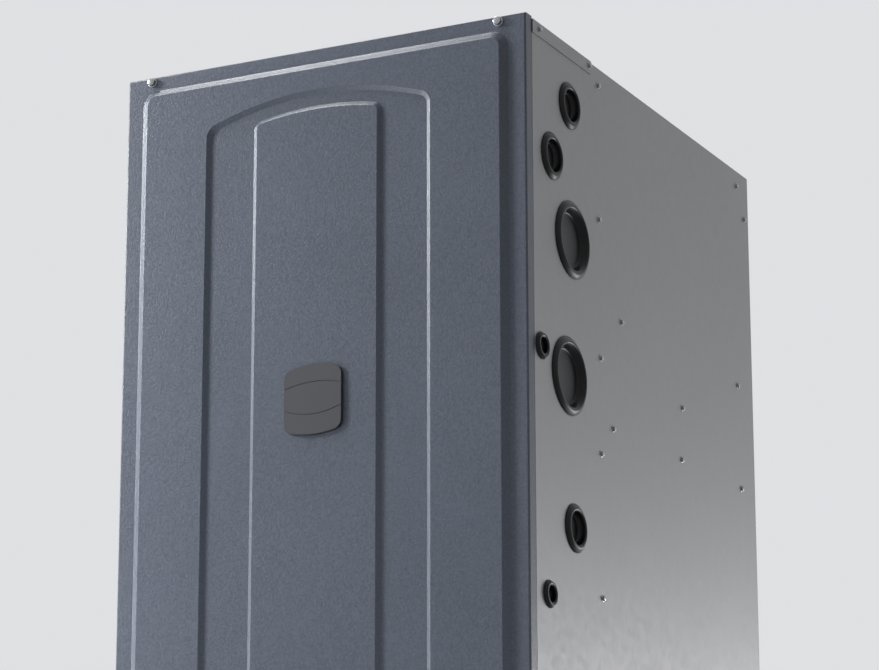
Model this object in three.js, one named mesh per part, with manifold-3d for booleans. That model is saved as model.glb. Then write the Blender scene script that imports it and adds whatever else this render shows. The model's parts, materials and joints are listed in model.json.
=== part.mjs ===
// Forced air gas furnace: a floor-standing sheet steel cabinet with a pressed front door.
// Millimetres. X runs to the right, Y from the door towards the back, Z up.
// Inside the functions below, Y = 0 is the plane of the door's flat border; the finished
// group is moved along Y so that the origin is under the middle of the whole object.

import * as THREE from 'three';
import { mergeVertices } from 'three/addons/utils/BufferGeometryUtils.js';
import Module from 'manifold-3d';

const wasm = await Module();
wasm.setup();

// ---------------------------------------------------------------- driving dimensions

// Cabinet
const cabinetWidth = 533.4;
const cabinetDepth = 685.8; // door border plane to the back of the cabinet
const doorTop = 863.6; // floor to the top edge of the door
const sideTopDrop = 4; // the side panels end this far below the door's top edge
const wrapperSheet = 1;
const innerSheet = 1.2;
const frontFlangeWidth = 22;
const ductFlangeWidth = 15;
const footFlangeWidth = 18;
const fitGap = 0.3; // clearance between pieces that touch
const cutReach = 1; // how far a cutting tool runs past what it cuts

// Front door
const doorDepth = 17;
const doorSheet = 1;
const doorSeam = 0.6; // gap between the door's returns and the cabinet
const doorEdgeRadius = 3;
const doorLipWidth = 18;
const doorFloorGap = 8; // floor to the bottom edge of the door
const panelInset = 22.8; // cabinet side to the foot of the raised panel
const panelTopInset = 18.5; // door's top edge to the foot of the raised panel
const panelRise = 6.5;
const panelRun = 7;
const panelCornerRadius = 16;
const archShift = -2.5; // the arches sit a little left of the door's middle
const channelHalfWidth = 145.5; // at the foot of the channel
const channelPeakDrop = 58.5; // door top to the crown of the channel's foot
const channelArcRadius = 414;
const channelDepth = 4;
const channelRun = 3;
const channelCornerRadius = 8;
const channelFloorGap = 63.6; // floor to the bottom of the channel
const innerHalfWidth = 82; // raised inner arch, at its top face
const innerPeakDrop = 78.5;
const innerArcRadius = 394;
const innerCornerRadius = 7;
const innerFloorGap = 83.6;
const reliefCore = 1; // straight part between the relief's front and back slopes
const doorPadThickness = 6;
const doorPadInset = 20;

// Badge on the door
const badgeWidth = 75.3;
const badgeHeight = 83;
const badgeCrown = 6.5; // how far its top and bottom edges bow out
const badgeThickness = 3.5;
const badgeCornerRadius = 9;
const badgeCornerLift = 1; // the corners end this far above the straight sides' ends
const badgeDrop = 431.5; // door top to the badge's middle

// Door screws
const doorScrewInset = 34.3;
const doorScrewDrop = 6.7;
const screwHeadWidth = 9.5;
const screwHeadHeight = 4.2;
const screwWasherRadius = 6;
const screwWasherHeight = 1;
const screwShankRadius = 2.4;
const screwShankLength = 26;
const screwHoleGap = 0.5;

// Plugs in the side panels: three sizes, each across its flange, rim and disc
const largeFlange = 93;
const largeRim = 78;
const largeDisc = 66;
const mediumFlange = 57;
const mediumRim = 43;
const mediumDisc = 35;
const smallFlange = 32;
const smallRim = 23;
const smallDisc = 17;
const plugProud = 4.6; // rim above the side panel
const plugDiscDepth = 5; // disc below the side panel's face
const plugWall = 1.4;
const plugSkirtGap = 0.3; // the skirt is this much smaller than the rim
const plugEdge = 0.9; // thickness of the flange's outer edge
const plugHoleGap = 0.4;

// Each plug's place behind the door plane and below the door's top
const gasUpperBack = 118.9;
const gasUpperDrop = 78;
const gasLowerBack = 68.2;
const gasLowerDrop = 154.8;
const ventUpperBack = 122.8;
const ventUpperDrop = 241.4;
const wiringUpperBack = 35.7;
const wiringUpperDrop = 389.6;
const ventLowerBack = 109.9;
const ventLowerDrop = 407.9;
const drainBack = 122.7;
const drainDrop = 583.9;
const wiringLowerBack = 50.5;
const wiringLowerDrop = 672.2;

// Partitions
const partitionBack = 190; // front face of the vestibule panel and the blower door
const partitionFlange = 20;
const topPlateRearGap = 9; // the top plate ends this far before the vestibule panel
const topPlateSkirt = 15; // height of its outside flanges
const topPlateFrontSkirt = 24;
const deckHeight = 417; // underside of the blower deck
const deckFlange = 18;
const panelSillDrop = 12; // deck's underside down to the vestibule panel's sill
const blowerDoorSill = 30;
const shelfDepth = 14; // the base pan's shelf under the door
const panFrontHeight = 28;
const panLipDepth = 4;
const returnSideGap = 76.7; // cabinet side to the return air opening in the base pan
const returnFrontGap = 55; // blower door to the opening
const returnRearGap = 40.8; // opening to the cabinet's back
const returnFlange = 14;

// Heat exchanger
const tubeCount = 4;
const tubeRadius = 22;
const tubeWall = 1.6;
const tubeHoleGap = 0.4;
const tubeProud = 3; // the tube ends stand out of the sheets that hold them
const tubeFrontGap = 21; // vestibule panel to the front bends
const tubeRearGap = 46.8; // rear bends to the cabinet's back
const tubeCoilGap = 34; // lowest tube run to the coil under it
const exchangerOverhang = 18; // it reaches this far past the burner box on each side
const transitionRearGap = 23.8;
const transitionDepth = 50;
const transitionTopGap = 3; // above the lowest tube run
const coilDeckGap = 33; // underside of the deck to the coil
const coilHeight = 105;
const coilSideGap = 5; // side of the coil to the side of the transition box
const coilPlate = 2;
const coilCoreInset = 16;
const coilRim = 10; // sheet left round the coil's opening
const coilRowCount = 2;
const coilTubesPerRow = 5;
const coilTubeRadius = 5;

// Collector box and inducer
const collectorDepth = 40;
const collectorWall = 2.5;
const collectorRim = 8; // above and below the coil
const inducerRise = 50; // inducer axis above the coil's foot
const inducerWheelRadius = 52;
const inducerWheelWidth = 24;
const inducerBlades = 12;
const inducerBladeThickness = 2;
const inducerCutoff = 6; // wheel to the scroll's tongue
const inducerScrollGrowth = 20;
const inducerThroatWidth = 42;
const inducerThroatRise = 72; // inducer axis to the throat's top
const inducerSpigotRise = 102;
const inducerWidth = 42;
const inducerWall = 2.5;
const inducerEyeRadius = 26;
const inducerHubRadius = 10;
const inducerShaftRadius = 4;
const inducerMotorRadius = 42;
const inducerMotorLength = 46;
const ventSideGap = 19.7; // vent collar to the cabinet's side
const ventPipeWall = 3.5;
const ventPipeRadius = 30;
const ventOverlap = 20; // the vent pipe is pushed this far over the spigot
const collarRadius = 40;

// Burners
const burnerBoxGap = 1; // the top plate's rear flange to the burner box
const burnerBoxHeight = 104;
const burnerBoxVentGap = 5; // burner box to the vent pipe beside it
const burnerBoxSideGap = 34; // middle of the outer burners to the box's side
const burnerBoxLip = 12;
const burnerRearGap = 16; // burner outlets to the vestibule panel
const burnerLength = 76;
const burnerWall = 1.6;
const burnerMouthRadius = 16;
const burnerThroatRadius = 10.5;
const burnerOutletRadius = 17;
const burnerThroatReach = 24; // mouth to throat
const burnerFlareReach = 60; // mouth to the full outlet
const burnerBridgeHeight = 10;
const burnerBridgeDepth = 12;
const burnerBridgeGap = 8; // outlets to the bridge behind them
const sightRadius = 12;
const sightGlassRadius = 18;
const sightGlassDepth = 5;
const airInletSideGap = 62; // burner box's left side to the middle of the air inlet
const airInletRearGap = 66;
const airInletRadius = 30;
const airFlangeWidth = 6;
const airFlangeHeight = 4;
const manifoldGap = 20; // manifold to the burners' mouths
const manifoldFrontGap = 16; // manifold to the front of the burner box
const manifoldRadius = 10;
const manifoldBend = 22;
const orificeRadius = 5;
const orificeTip = 3;
const orificeTipRadius = 2;
const valveSideGap = 11.7; // gas valve to the cabinet's side
const valveDrop = 26; // burner box's floor to the valve's neck
const valveWidth = 78;
const valveDepth = 66;
const valveHeight = 84;
const knobDrop = 26;
const knobRadius = 13;
const knobHeight = 14;
const knobDial = 6;
const knobGrip = 5;
const igniterGap = 2; // burner outlets to the igniter's holder
const igniterWidth = 16;
const igniterDepth = 9;
const flameGap = 4; // igniter blade and sensor tip to the middle of the flame
const rolloutSideGap = 72; // burner box's right side to the roll-out switch
const rolloutRise = 20; // above the burner box's floor
const rolloutRadius = 10;
const rolloutDepth = 12;
const rolloutWing = 17;
const resetRadius = 3;
const resetLength = 7;
const resetProud = 4;

// Pressure switch, trap and hoses
const pressureSwitchLeft = 60;
const pressureSwitchRadius = 32;
const pressureSwitchDepth = 26;
const pressureBracketHalf = 38;
const tapRadius = 2; // the nipples that the pressure hose is pushed over
const tapLength = 12;
const tapDrop = 20; // collector's top to its nipple
const hoseRadius = 4;
const hoseWall = 1.2;
const hoseReach = 30; // how far the pressure hose loops out in front of the collector
const hoseBend = 14;
const trapLeft = 140;
const trapWidth = 74;
const trapDepth = 56;
const trapDrop = 15; // deck's underside to the trap's top
const trapHeight = 96;
const trapStep = 26;
const trapShift = 10; // trap inlet right of the collector's drain
const trapPortRadius = 8;
const trapPortWall = 2;
const trapPortLength = 14;
const drainHoseRadius = 10.5;
const drainHoseBore = 8.8;
const drainHoseBend = 8;

// Controls
const boardWidth = 170;
const boardHeight = 130;
const boardThickness = 1.6;
const boardStandoff = 10;
const boardLeft = 40; // the board's left edge, left of the middle
const boardDrop = 47; // deck's underside to the board's top
const boardMargin = 14;
const boardPostRadius = 3;
const boardSink = 0.5; // how far each part is sunk into the card, so that they are one solid
const relayCount = 3;
const relayWidth = 22;
const relayTall = 26;
const relayDepth = 18;
const relayPitch = 26;
const terminalHeight = 14;
const terminalDepth = 11;
const socketCount = 2;
const socketWidth = 20;
const socketTall = 26;
const socketDepth = 12;
const socketPitch = 34;
const chipSide = 32;
const chipDepth = 3;
const transformerWidth = 66;
const transformerHeight = 56;
const transformerDepth = 50;
const transformerRight = 165;
const transformerBottom = 120;
const switchHeight = 436; // middle of the door switch
const switchWidth = 14;
const switchTall = 22;
const switchDepth = 30;
const plungerRadius = 3;
const plungerLength = 12;
const plungerHoleGap = 0.4;

// Blower
const blowerRearGap = 235.8; // blower axis to the cabinet's back
const blowerHeight = 215;
const blowerWidth = 262;
const blowerSheet = 1.2;
const blowerRail = 22; // how far the mounting flange stands out of the housing
const wheelRadius = 132;
const wheelBladeDepth = 14;
const wheelBladeThickness = 2.4;
const wheelBladeCount = 32;
const wheelBladeAngle = 28;
const wheelRingHeight = 5;
const wheelDiscThickness = 3;
const wheelEndGap = 3; // wheel ring to the inlet ring beside it
const cutoffGap = 18; // wheel to the scroll's tongue
const scrollGrowth = 50;
const scrollThroat = 5; // blower axis to the front wall of its outlet
const scrollSteps = 24;
const inletInset = 20; // wheel's outside to the inlet's edge
const inletRingDepth = 10;
const inletRingWall = 2;
const hubRadius = 20;
const hubLength = 30;
const hubShift = 4;
const shaftRadius = 6.35;
const motorRadius = 69;
const motorFace = 16; // motor's inner end, right of the middle
const motorProud = 31; // how far the motor stands out of the housing
const mountRingWidth = 18;
const mountArmWidth = 22;
const mountArmCount = 3;
const mountArmGrip = 20; // how far the arms reach past the inlet's edge
const mountSheet = 3;

// Sides of turned pieces
const fineSides = 20;
const plainSides = 14;
const holeSides = 12;
const smallSides = 10;
const roughSides = 8;
const hexSides = 6;

// ---------------------------------------------------------------- values worked out from them

// Across the cabinet
const halfWidth = cabinetWidth / 2;
const insideHalfWidth = halfWidth - wrapperSheet;
const innerHalf = insideHalfWidth - fitGap; // half width of a sheet fitted inside
const frontHalf = halfWidth - frontFlangeWidth - fitGap; // and of one between the front flanges
const inducerScrollStart = inducerWheelRadius + inducerCutoff;
const inducerScrollEnd = inducerScrollStart + inducerScrollGrowth;
const ventRight = halfWidth - ventSideGap - collarRadius;
const inducerRight = ventRight - inducerScrollEnd + inducerThroatWidth / 2;
const burnerBoxHalf = ventRight - ventPipeRadius - burnerBoxVentGap;
const outerBurner = burnerBoxHalf - burnerBoxSideGap;
const tubePlaces = Array.from({ length: tubeCount }, (_, i) =>
  outerBurner * ((2 * i) / (tubeCount - 1) - 1));
const exchangerHalf = burnerBoxHalf + exchangerOverhang;
const coilHalf = exchangerHalf - coilSideGap;
const airInletLeft = burnerBoxHalf - airInletSideGap;
const rolloutRight = burnerBoxHalf - rolloutSideGap;
const manifoldLeft = halfWidth - valveSideGap - valveWidth / 2;
const trapInlet = -trapLeft + trapShift;
const plugReach = wrapperSheet + plugDiscDepth + plugWall / 2; // inwards from the side's face
const switchRight = halfWidth - plugReach - 2 * fitGap - switchWidth / 2;

// From front to back
const cabinetFront = doorDepth + doorSeam;
const insideBack = cabinetDepth - wrapperSheet;
const badgeFace = panelRise + fitGap + badgeThickness;
const panelBack = partitionBack + innerSheet;
const partitionSeat = partitionBack - fitGap; // back of what is fastened to the partitions
const topPlateEnd = partitionBack - topPlateRearGap;
const burnerRear = partitionBack - burnerRearGap;
const burnerFront = burnerRear - burnerLength;
const manifoldBack = burnerFront - manifoldGap;
const burnerBoxFront = manifoldBack - manifoldFrontGap;
const coverFront = burnerBoxFront - fitGap - innerSheet;
const coverSeat = coverFront - fitGap;
const rolloutFace = coverSeat - rolloutDepth;
const airInletBack = partitionBack - airInletRearGap;
const valveFront = manifoldBack - valveDepth / 2;
const pressureSwitchFace = partitionSeat - pressureSwitchDepth;
const collectorFront = partitionSeat - collectorDepth;
const collectorMiddle = partitionSeat - collectorDepth / 2;
const inducerBackFace = collectorFront - fitGap;
const inducerFrontFace = inducerBackFace - inducerWidth;
const inducerMiddle = inducerBackFace - inducerWidth / 2;
const transitionBack = cabinetDepth - transitionRearGap;
const transitionFront = transitionBack - transitionDepth;
const coilFront = panelBack + fitGap;
const coilBack = transitionFront - fitGap;
const blowerBack = cabinetDepth - blowerRearGap;
const switchFront = cabinetFront + wrapperSheet + fitGap;

// From the floor up
const sideTop = doorTop - sideTopDrop;
const topPlateUnder = sideTop + fitGap;
const topPlateFace = topPlateUnder + wrapperSheet;
const panHeight = wrapperSheet + fitGap;
const panelSill = deckHeight - panelSillDrop;
const boxTop = sideTop - topPlateSkirt - burnerBoxGap;
const boxBottom = boxTop - burnerBoxHeight;
const boxFloor = boxBottom + innerSheet + fitGap;
const tubeTopHeight = (boxTop + boxBottom) / 2;
const coilBottom = deckHeight + coilDeckGap;
const coilTop = coilBottom + coilHeight;
const tubeLowHeight = coilTop + tubeCoilGap + tubeRadius;
const tubeBendRadius = (tubeTopHeight - tubeLowHeight) / 4;
const tubeMidHeight = tubeLowHeight + 2 * tubeBendRadius;
const transitionHeights = [coilBottom - coilPlate, tubeLowHeight + tubeRadius + transitionTopGap];
const collectorLow = coilBottom - collectorRim;
const collectorHigh = coilTop + collectorRim;
const inducerHeight = coilBottom + inducerRise;
const inducerThroatTop = inducerHeight + inducerThroatRise;
const inducerSpigotTop = inducerHeight + inducerSpigotRise;
const valveTop = boxBottom - valveDrop;
const knobUp = valveTop - knobDrop;
const rolloutHeight = boxBottom + rolloutRise;
const pressureSwitchHeight = (collectorHigh + boxBottom - burnerBoxLip) / 2;
const tapHeight = collectorHigh - tapDrop;
const trapTop = deckHeight - trapDrop;
const boardBottom = deckHeight - boardDrop - boardHeight;
const collarTop = doorTop - fitGap; // tops of the two pipe collars

// Blower
const wheelWidth = blowerWidth - 2 * (inletRingDepth + wheelEndGap);
const scrollStart = wheelRadius + cutoffGap;
const scrollEnd = scrollStart + scrollGrowth;
const inletRadius = wheelRadius - inletInset;
const motorLength = blowerWidth / 2 + motorProud - motorFace;

const plugSizes = {
  large: { flange: largeFlange, rim: largeRim, disc: largeDisc, count: 18 },
  medium: { flange: mediumFlange, rim: mediumRim, disc: mediumDisc, count: 14 },
  small: { flange: smallFlange, rim: smallRim, disc: smallDisc, count: 10 },
};
const plugPlaces = [
  { label: 'gas_upper', size: 'medium', back: gasUpperBack, drop: gasUpperDrop },
  { label: 'gas_lower', size: 'medium', back: gasLowerBack, drop: gasLowerDrop },
  { label: 'vent_upper', size: 'large', back: ventUpperBack, drop: ventUpperDrop },
  { label: 'wiring_upper', size: 'small', back: wiringUpperBack, drop: wiringUpperDrop },
  { label: 'vent_lower', size: 'large', back: ventLowerBack, drop: ventLowerDrop },
  { label: 'drain', size: 'medium', back: drainBack, drop: drainDrop },
  { label: 'wiring_lower', size: 'small', back: wiringLowerBack, drop: wiringLowerDrop },
];

// ---------------------------------------------------------------- finishes

const paint = (color, roughness, metalness) => ({ color, roughness, metalness });
const finishes = {
  slatePaint: paint(0x565e6a, 0.5, 0.25),
  galvanised: paint(0x8d8f90, 0.42, 0.7),
  blackPlastic: paint(0x1c1d1e, 0.3, 0),
  badgePlastic: paint(0x4b5056, 0.45, 0),
  zinc: paint(0xc4c6c8, 0.3, 0.9),
  aluminised: paint(0xa8a9a6, 0.45, 0.8),
  aluminium: paint(0xc0c2c3, 0.4, 0.85),
  castMetal: paint(0x8f9294, 0.5, 0.7),
  blackSteel: paint(0x2c2e30, 0.5, 0.5),
  whitePlastic: paint(0xe6e5df, 0.45, 0),
  redPlastic: paint(0xa82a22, 0.4, 0),
  ceramic: paint(0xe3ddcf, 0.6, 0),
  rubber: paint(0x26272a, 0.8, 0),
  circuit: paint(0x1f5b3a, 0.5, 0),
  foil: paint(0xb9bcbf, 0.35, 0.8),
};

// ---------------------------------------------------------------- solid helpers

function solid(geometry) {
  geometry.deleteAttribute('normal');
  geometry.deleteAttribute('uv');
  const merged = mergeVertices(geometry, 1e-4);
  return new wasm.Manifold(new wasm.Mesh({
    numProp: 3,
    vertProperties: new Float32Array(merged.attributes.position.array),
    triVerts: new Uint32Array(merged.index.array),
  }));
}

function geometryOf(body) {
  const mesh = body.getMesh();
  const geometry = new THREE.BufferGeometry();
  geometry.setAttribute('position', new THREE.BufferAttribute(mesh.vertProperties, 3));
  geometry.setIndex(new THREE.BufferAttribute(mesh.triVerts, 1));
  return geometry;
}

const join = (...bodies) => bodies.reduce((whole, body) => whole.add(body));
const cut = (body, ...tools) => tools.reduce((rest, tool) => rest.subtract(tool), body);
const about = (middle, half) => [middle - half, middle + half];

// A box between two corners, given as [low, high] along each axis.
function block([x0, x1], [y0, y1], [z0, z1]) {
  const geometry = new THREE.BoxGeometry(x1 - x0, y1 - y0, z1 - z0);
  geometry.translate((x0 + x1) / 2, (y0 + y1) / 2, (z0 + z1) / 2);
  return solid(geometry);
}

// Turns a geometry made along +Y so that it points along another axis.
function pointAlong(geometry, axis) {
  if (axis === 'x') geometry.rotateZ(-Math.PI / 2);
  if (axis === '-x') geometry.rotateZ(Math.PI / 2);
  if (axis === '-y') geometry.rotateX(Math.PI);
  if (axis === 'z') geometry.rotateX(Math.PI / 2);
  if (axis === '-z') geometry.rotateX(-Math.PI / 2);
  return geometry;
}

// A turned solid: profile points are [radius, distance along the axis from its foot].
function turned(profile, axis, [x, y, z], sides = plainSides) {
  const points = profile.map(([radius, along]) => new THREE.Vector2(radius, along));
  const geometry = pointAlong(new THREE.LatheGeometry(points, sides), axis);
  geometry.translate(x, y, z);
  return solid(geometry);
}

const rod = (radius, length, axis, foot, sides) =>
  turned([[0, 0], [radius, 0], [radius, length], [0, length]], axis, foot, sides);

function pipe(outer, inner, length, axis, foot, sides) {
  const profile = [[inner, 0], [outer, 0], [outer, length], [inner, length], [inner, 0]];
  return turned(profile, axis, foot, sides);
}

const footOf = {
  x: (along, [u, v]) => [along, u, v],
  y: (along, [u, v]) => [u, along, v],
  z: (along, [u, v]) => [u, v, along],
};

// The tool for a round hole between two faces: it runs past both, and its flats, not only
// its corners, clear a round piece of the given radius.
function drill(axis, radius, [from, to], place, sides = holeSides) {
  const foot = footOf[axis](from - cutReach, place);
  return rod(radius / Math.cos(Math.PI / sides), to - from + 2 * cutReach, axis, foot, sides);
}

// An outline in the X-Z plane, made thick along Y between two depths.
function slabY(shape, [y0, y1], curveSegments = 6) {
  const geometry = new THREE.ExtrudeGeometry(
    shape, { depth: y1 - y0, bevelEnabled: false, curveSegments });
  geometry.rotateX(Math.PI / 2);
  geometry.translate(0, y1, 0);
  return solid(geometry);
}

// An outline in the X-Y plane, made tall along Z between two heights.
function slabZ(shape, [z0, z1], curveSegments = 4) {
  const geometry = new THREE.ExtrudeGeometry(
    shape, { depth: z1 - z0, bevelEnabled: false, curveSegments });
  geometry.translate(0, 0, z0);
  return solid(geometry);
}

// An outline in the Y-Z plane, made wide along X between two places.
function slabX(shape, [x0, x1]) {
  const geometry = new THREE.ExtrudeGeometry(shape, { depth: x1 - x0, bevelEnabled: false });
  geometry.applyMatrix4(new THREE.Matrix4().makeBasis(
    new THREE.Vector3(0, 1, 0), new THREE.Vector3(0, 0, 1), new THREE.Vector3(1, 0, 0)));
  geometry.translate(x0, 0, 0);
  return solid(geometry);
}

// A field whose front face, at depth `face`, has the given outline. Its sides slope out by
// `run` over `rise`, stay wide over `core`, and slope in again to a like face at the back.
function slopedField(shape, face, rise, run, core) {
  const geometry = new THREE.ExtrudeGeometry(shape, {
    depth: core, bevelThickness: rise, bevelSize: run, bevelSegments: 1, curveSegments: 6 });
  geometry.rotateX(Math.PI / 2);
  geometry.translate(0, face + rise + core, 0);
  return solid(geometry);
}

function rectangle(halfWide, low, high, radius) {
  const shape = new THREE.Shape();
  shape.moveTo(-halfWide + radius, low);
  shape.lineTo(halfWide - radius, low);
  shape.absarc(halfWide - radius, low + radius, radius, -Math.PI / 2, 0);
  shape.absarc(halfWide - radius, high - radius, radius, 0, Math.PI / 2);
  shape.absarc(-halfWide + radius, high - radius, radius, Math.PI / 2, Math.PI);
  shape.absarc(-halfWide + radius, low + radius, radius, Math.PI, Math.PI * 1.5);
  return shape;
}

// An upright outline whose top is a shallow arc with rounded shoulders.
function archOutline(halfWide, crown, arcRadius, cornerRadius, low) {
  const arcTurn = Math.asin((halfWide - cornerRadius) / arcRadius);
  const arcStart = crown - arcRadius * (1 - Math.cos(arcTurn));
  const shoulder = crown - arcRadius * (1 - Math.cos(Math.asin(halfWide / arcRadius)));
  const shape = new THREE.Shape();
  shape.moveTo(-halfWide, low);
  shape.lineTo(halfWide, low);
  shape.lineTo(halfWide, shoulder - cornerRadius);
  shape.quadraticCurveTo(halfWide, shoulder, halfWide - cornerRadius, arcStart);
  shape.absarc(0, crown - arcRadius, arcRadius, Math.PI / 2 - arcTurn, Math.PI / 2 + arcTurn);
  shape.quadraticCurveTo(-halfWide, shoulder, -halfWide, shoulder - cornerRadius);
  return shape;
}

// A path that stops once at each station, so that a straight run costs a single step.
class StationPath extends THREE.Curve {
  constructor(stations) {
    super();
    this.stations = stations;
  }

  at(share) {
    return this.stations[Math.round(share * (this.stations.length - 1))];
  }

  getPointAt(share) {
    return this.at(share).point.clone();
  }

  getTangentAt(share) {
    return this.at(share).tangent.clone();
  }
}

// The stations of one rounded corner, from the straight run before it to the one after.
function cornerStations(before, corner, after, radius, steps) {
  const inward = corner.clone().sub(before).normalize();
  const outward = after.clone().sub(corner).normalize();
  const turn = inward.angleTo(outward);
  const start = corner.clone().addScaledVector(inward, -radius * Math.tan(turn / 2));
  const side = outward.clone().addScaledVector(inward, -inward.dot(outward)).normalize();
  const centre = start.clone().addScaledVector(side, radius);
  return Array.from({ length: steps + 1 }, (_, step) => {
    const angle = (turn * step) / steps;
    const point = centre.clone()
      .addScaledVector(side, -radius * Math.cos(angle))
      .addScaledVector(inward, radius * Math.sin(angle));
    const tangent = inward.clone().multiplyScalar(Math.cos(angle))
      .addScaledVector(side, Math.sin(angle));
    return { point, tangent };
  });
}

const circlePoints = (radius, count) => Array.from({ length: count }, (_, i) =>
  new THREE.Vector2(radius, 0).rotateAround(new THREE.Vector2(), (2 * Math.PI * i) / count));

const heading = (from, to) => to.clone().sub(from).normalize();

// A tube or rod that follows corner points with rounded bends.
function routed(corners, bendRadius, outer, inner, sides, bendSteps = 3) {
  const points = corners.map((corner) => new THREE.Vector3(...corner));
  const last = points.length - 1;
  const stations = [{ point: points[0], tangent: heading(points[0], points[1]) }];
  for (let i = 1; i < last; i += 1) {
    stations.push(...cornerStations(points[i - 1], points[i], points[i + 1], bendRadius, bendSteps));
  }
  stations.push({ point: points[last], tangent: heading(points[last - 1], points[last]) });
  const spread = stations.filter((station, i) =>
    i === 0 || station.point.distanceTo(stations[i - 1].point) > fitGap);
  const section = new THREE.Shape(circlePoints(outer, sides));
  if (inner > 0) section.holes.push(new THREE.Path(circlePoints(inner, sides)));
  return solid(new THREE.ExtrudeGeometry(section, {
    steps: spread.length - 1, extrudePath: new StationPath(spread) }));
}

// ---------------------------------------------------------------- the assembly and its frame

const furnace = new THREE.Group();
furnace.position.y = -(cabinetDepth - badgeFace) / 2;

function addPiece(name, body, finish) {
  const mesh = new THREE.Mesh(geometryOf(body), new THREE.MeshStandardMaterial(finishes[finish]));
  mesh.name = name;
  furnace.add(mesh);
}

const sides = [{ side: 'left', sign: -1 }, { side: 'right', sign: 1 }];
const span = (sign, inner, outer) => (sign > 0 ? [inner, outer] : [-outer, -inner]);

// ---------------------------------------------------------------- cabinet

function plugHoles() {
  return plugPlaces.map(({ size, back, drop }) => {
    const { rim, count } = plugSizes[size];
    return drill('x', rim / 2 + plugHoleGap, [-halfWidth, halfWidth], [back, doorTop - drop], count);
  });
}

const plungerHole = () => drill('y', plungerRadius + plungerHoleGap,
  [cabinetFront, cabinetFront + wrapperSheet], [switchRight, switchHeight], smallSides);

function cabinetWrapper() {
  const depths = [cabinetFront, cabinetDepth];
  const ductDepths = [topPlateEnd + fitGap, cabinetDepth];
  const back = block(about(0, halfWidth), [insideBack, cabinetDepth], [0, sideTop]);
  const rearFoot = block(about(0, halfWidth),
    [cabinetDepth - footFlangeWidth, cabinetDepth], [0, wrapperSheet]);
  const rearDuct = block(about(0, halfWidth),
    [cabinetDepth - ductFlangeWidth, cabinetDepth], [sideTop - wrapperSheet, sideTop]);
  const sideParts = sides.flatMap(({ sign }) => [
    block(span(sign, insideHalfWidth, halfWidth), depths, [0, sideTop]),
    block(span(sign, halfWidth - frontFlangeWidth, halfWidth),
      [cabinetFront, cabinetFront + wrapperSheet], [0, sideTop]),
    block(span(sign, halfWidth - footFlangeWidth, halfWidth), depths, [0, wrapperSheet]),
    block(span(sign, halfWidth - ductFlangeWidth, halfWidth), ductDepths,
      [sideTop - wrapperSheet, sideTop]),
  ]);
  return cut(join(back, rearFoot, rearDuct, ...sideParts), ...plugHoles(), plungerHole());
}

function topPlate() {
  const outside = halfWidth + fitGap + wrapperSheet;
  const depths = [cabinetFront, topPlateEnd];
  const plate = block(about(0, outside), depths, [topPlateUnder, topPlateFace]);
  const frontSkirt = block(about(0, frontHalf), [cabinetFront, cabinetFront + wrapperSheet],
    [sideTop - topPlateFrontSkirt, topPlateFace]);
  const rearSkirt = block(about(0, innerHalf), [topPlateEnd - wrapperSheet, topPlateEnd],
    [sideTop - topPlateSkirt, topPlateFace]);
  const skirts = sides.map(({ sign }) => block(
    span(sign, halfWidth + fitGap, outside), depths, [sideTop - topPlateSkirt, topPlateFace]));
  const screwHoles = sides.map(({ sign }) => drill('y', screwShankRadius + screwHoleGap,
    [cabinetFront, cabinetFront + wrapperSheet],
    [sign * (halfWidth - doorScrewInset), doorTop - doorScrewDrop], smallSides));
  const ventHole = drill('z', ventPipeRadius + fitGap, [topPlateUnder, topPlateFace],
    [ventRight, inducerMiddle]);
  const airHole = drill('z', airInletRadius + fitGap, [topPlateUnder, topPlateFace],
    [-airInletLeft, airInletBack]);
  return cut(join(plate, frontSkirt, rearSkirt, ...skirts), ...screwHoles, ventHole, airHole);
}

function returnOpening(margin) {
  return [
    about(0, halfWidth - returnSideGap + margin),
    [partitionBack + returnFrontGap - margin, cabinetDepth - returnRearGap + margin],
  ];
}

function basePan() {
  const floor = [panHeight, panHeight + innerSheet];
  const rimTop = panHeight + returnFlange;
  const shelfTop = doorFloorGap - fitGap;
  const plate = block(about(0, innerHalf),
    [cabinetFront + wrapperSheet + fitGap, insideBack - fitGap], floor);
  const lip = block(about(0, frontHalf), [cabinetFront, cabinetFront + panLipDepth], floor);
  const front = block(about(0, frontHalf), [cabinetFront, cabinetFront + innerSheet],
    [panHeight, panFrontHeight]);
  const shelf = block(about(0, frontHalf), [cabinetFront - shelfDepth, cabinetFront + innerSheet],
    [shelfTop - innerSheet, shelfTop]);
  const rim = block(...returnOpening(innerSheet), [panHeight, rimTop]);
  const opening = block(...returnOpening(0), [panHeight - cutReach, rimTop + cutReach]);
  return cut(join(plate, lip, front, shelf, rim), opening);
}

// ---------------------------------------------------------------- partitions

// An upright sheet across the cabinet with a flange turned back along each side.
function partition(low, high) {
  const plate = block(about(0, innerHalf), [partitionBack, panelBack], [low, high]);
  const flanges = sides.map(({ sign }) => block(span(sign, innerHalf - innerSheet, innerHalf),
    [partitionBack, partitionBack + partitionFlange], [low, high]));
  return join(plate, ...flanges);
}

// The tool for the coil's opening, through the sheet between two depths.
const coilOpening = ([from, to]) => block(about(0, coilHalf - coilRim),
  [from - cutReach, to + cutReach], [coilBottom + coilRim, coilTop - coilRim]);

// The tools for the tubes' holes at one height, through the sheet between two depths.
const tubeHoles = (depths, height) => tubePlaces.map((x) =>
  drill('y', tubeRadius + tubeHoleGap, depths, [x, height]));

function vestibulePanel() {
  const depths = [partitionBack, panelBack];
  const sheet = partition(panelSill, sideTop - wrapperSheet - fitGap);
  return cut(sheet, ...tubeHoles(depths, tubeTopHeight), coilOpening(depths));
}

const blowerDoor = () => partition(blowerDoorSill, panelSill - fitGap);

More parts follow.
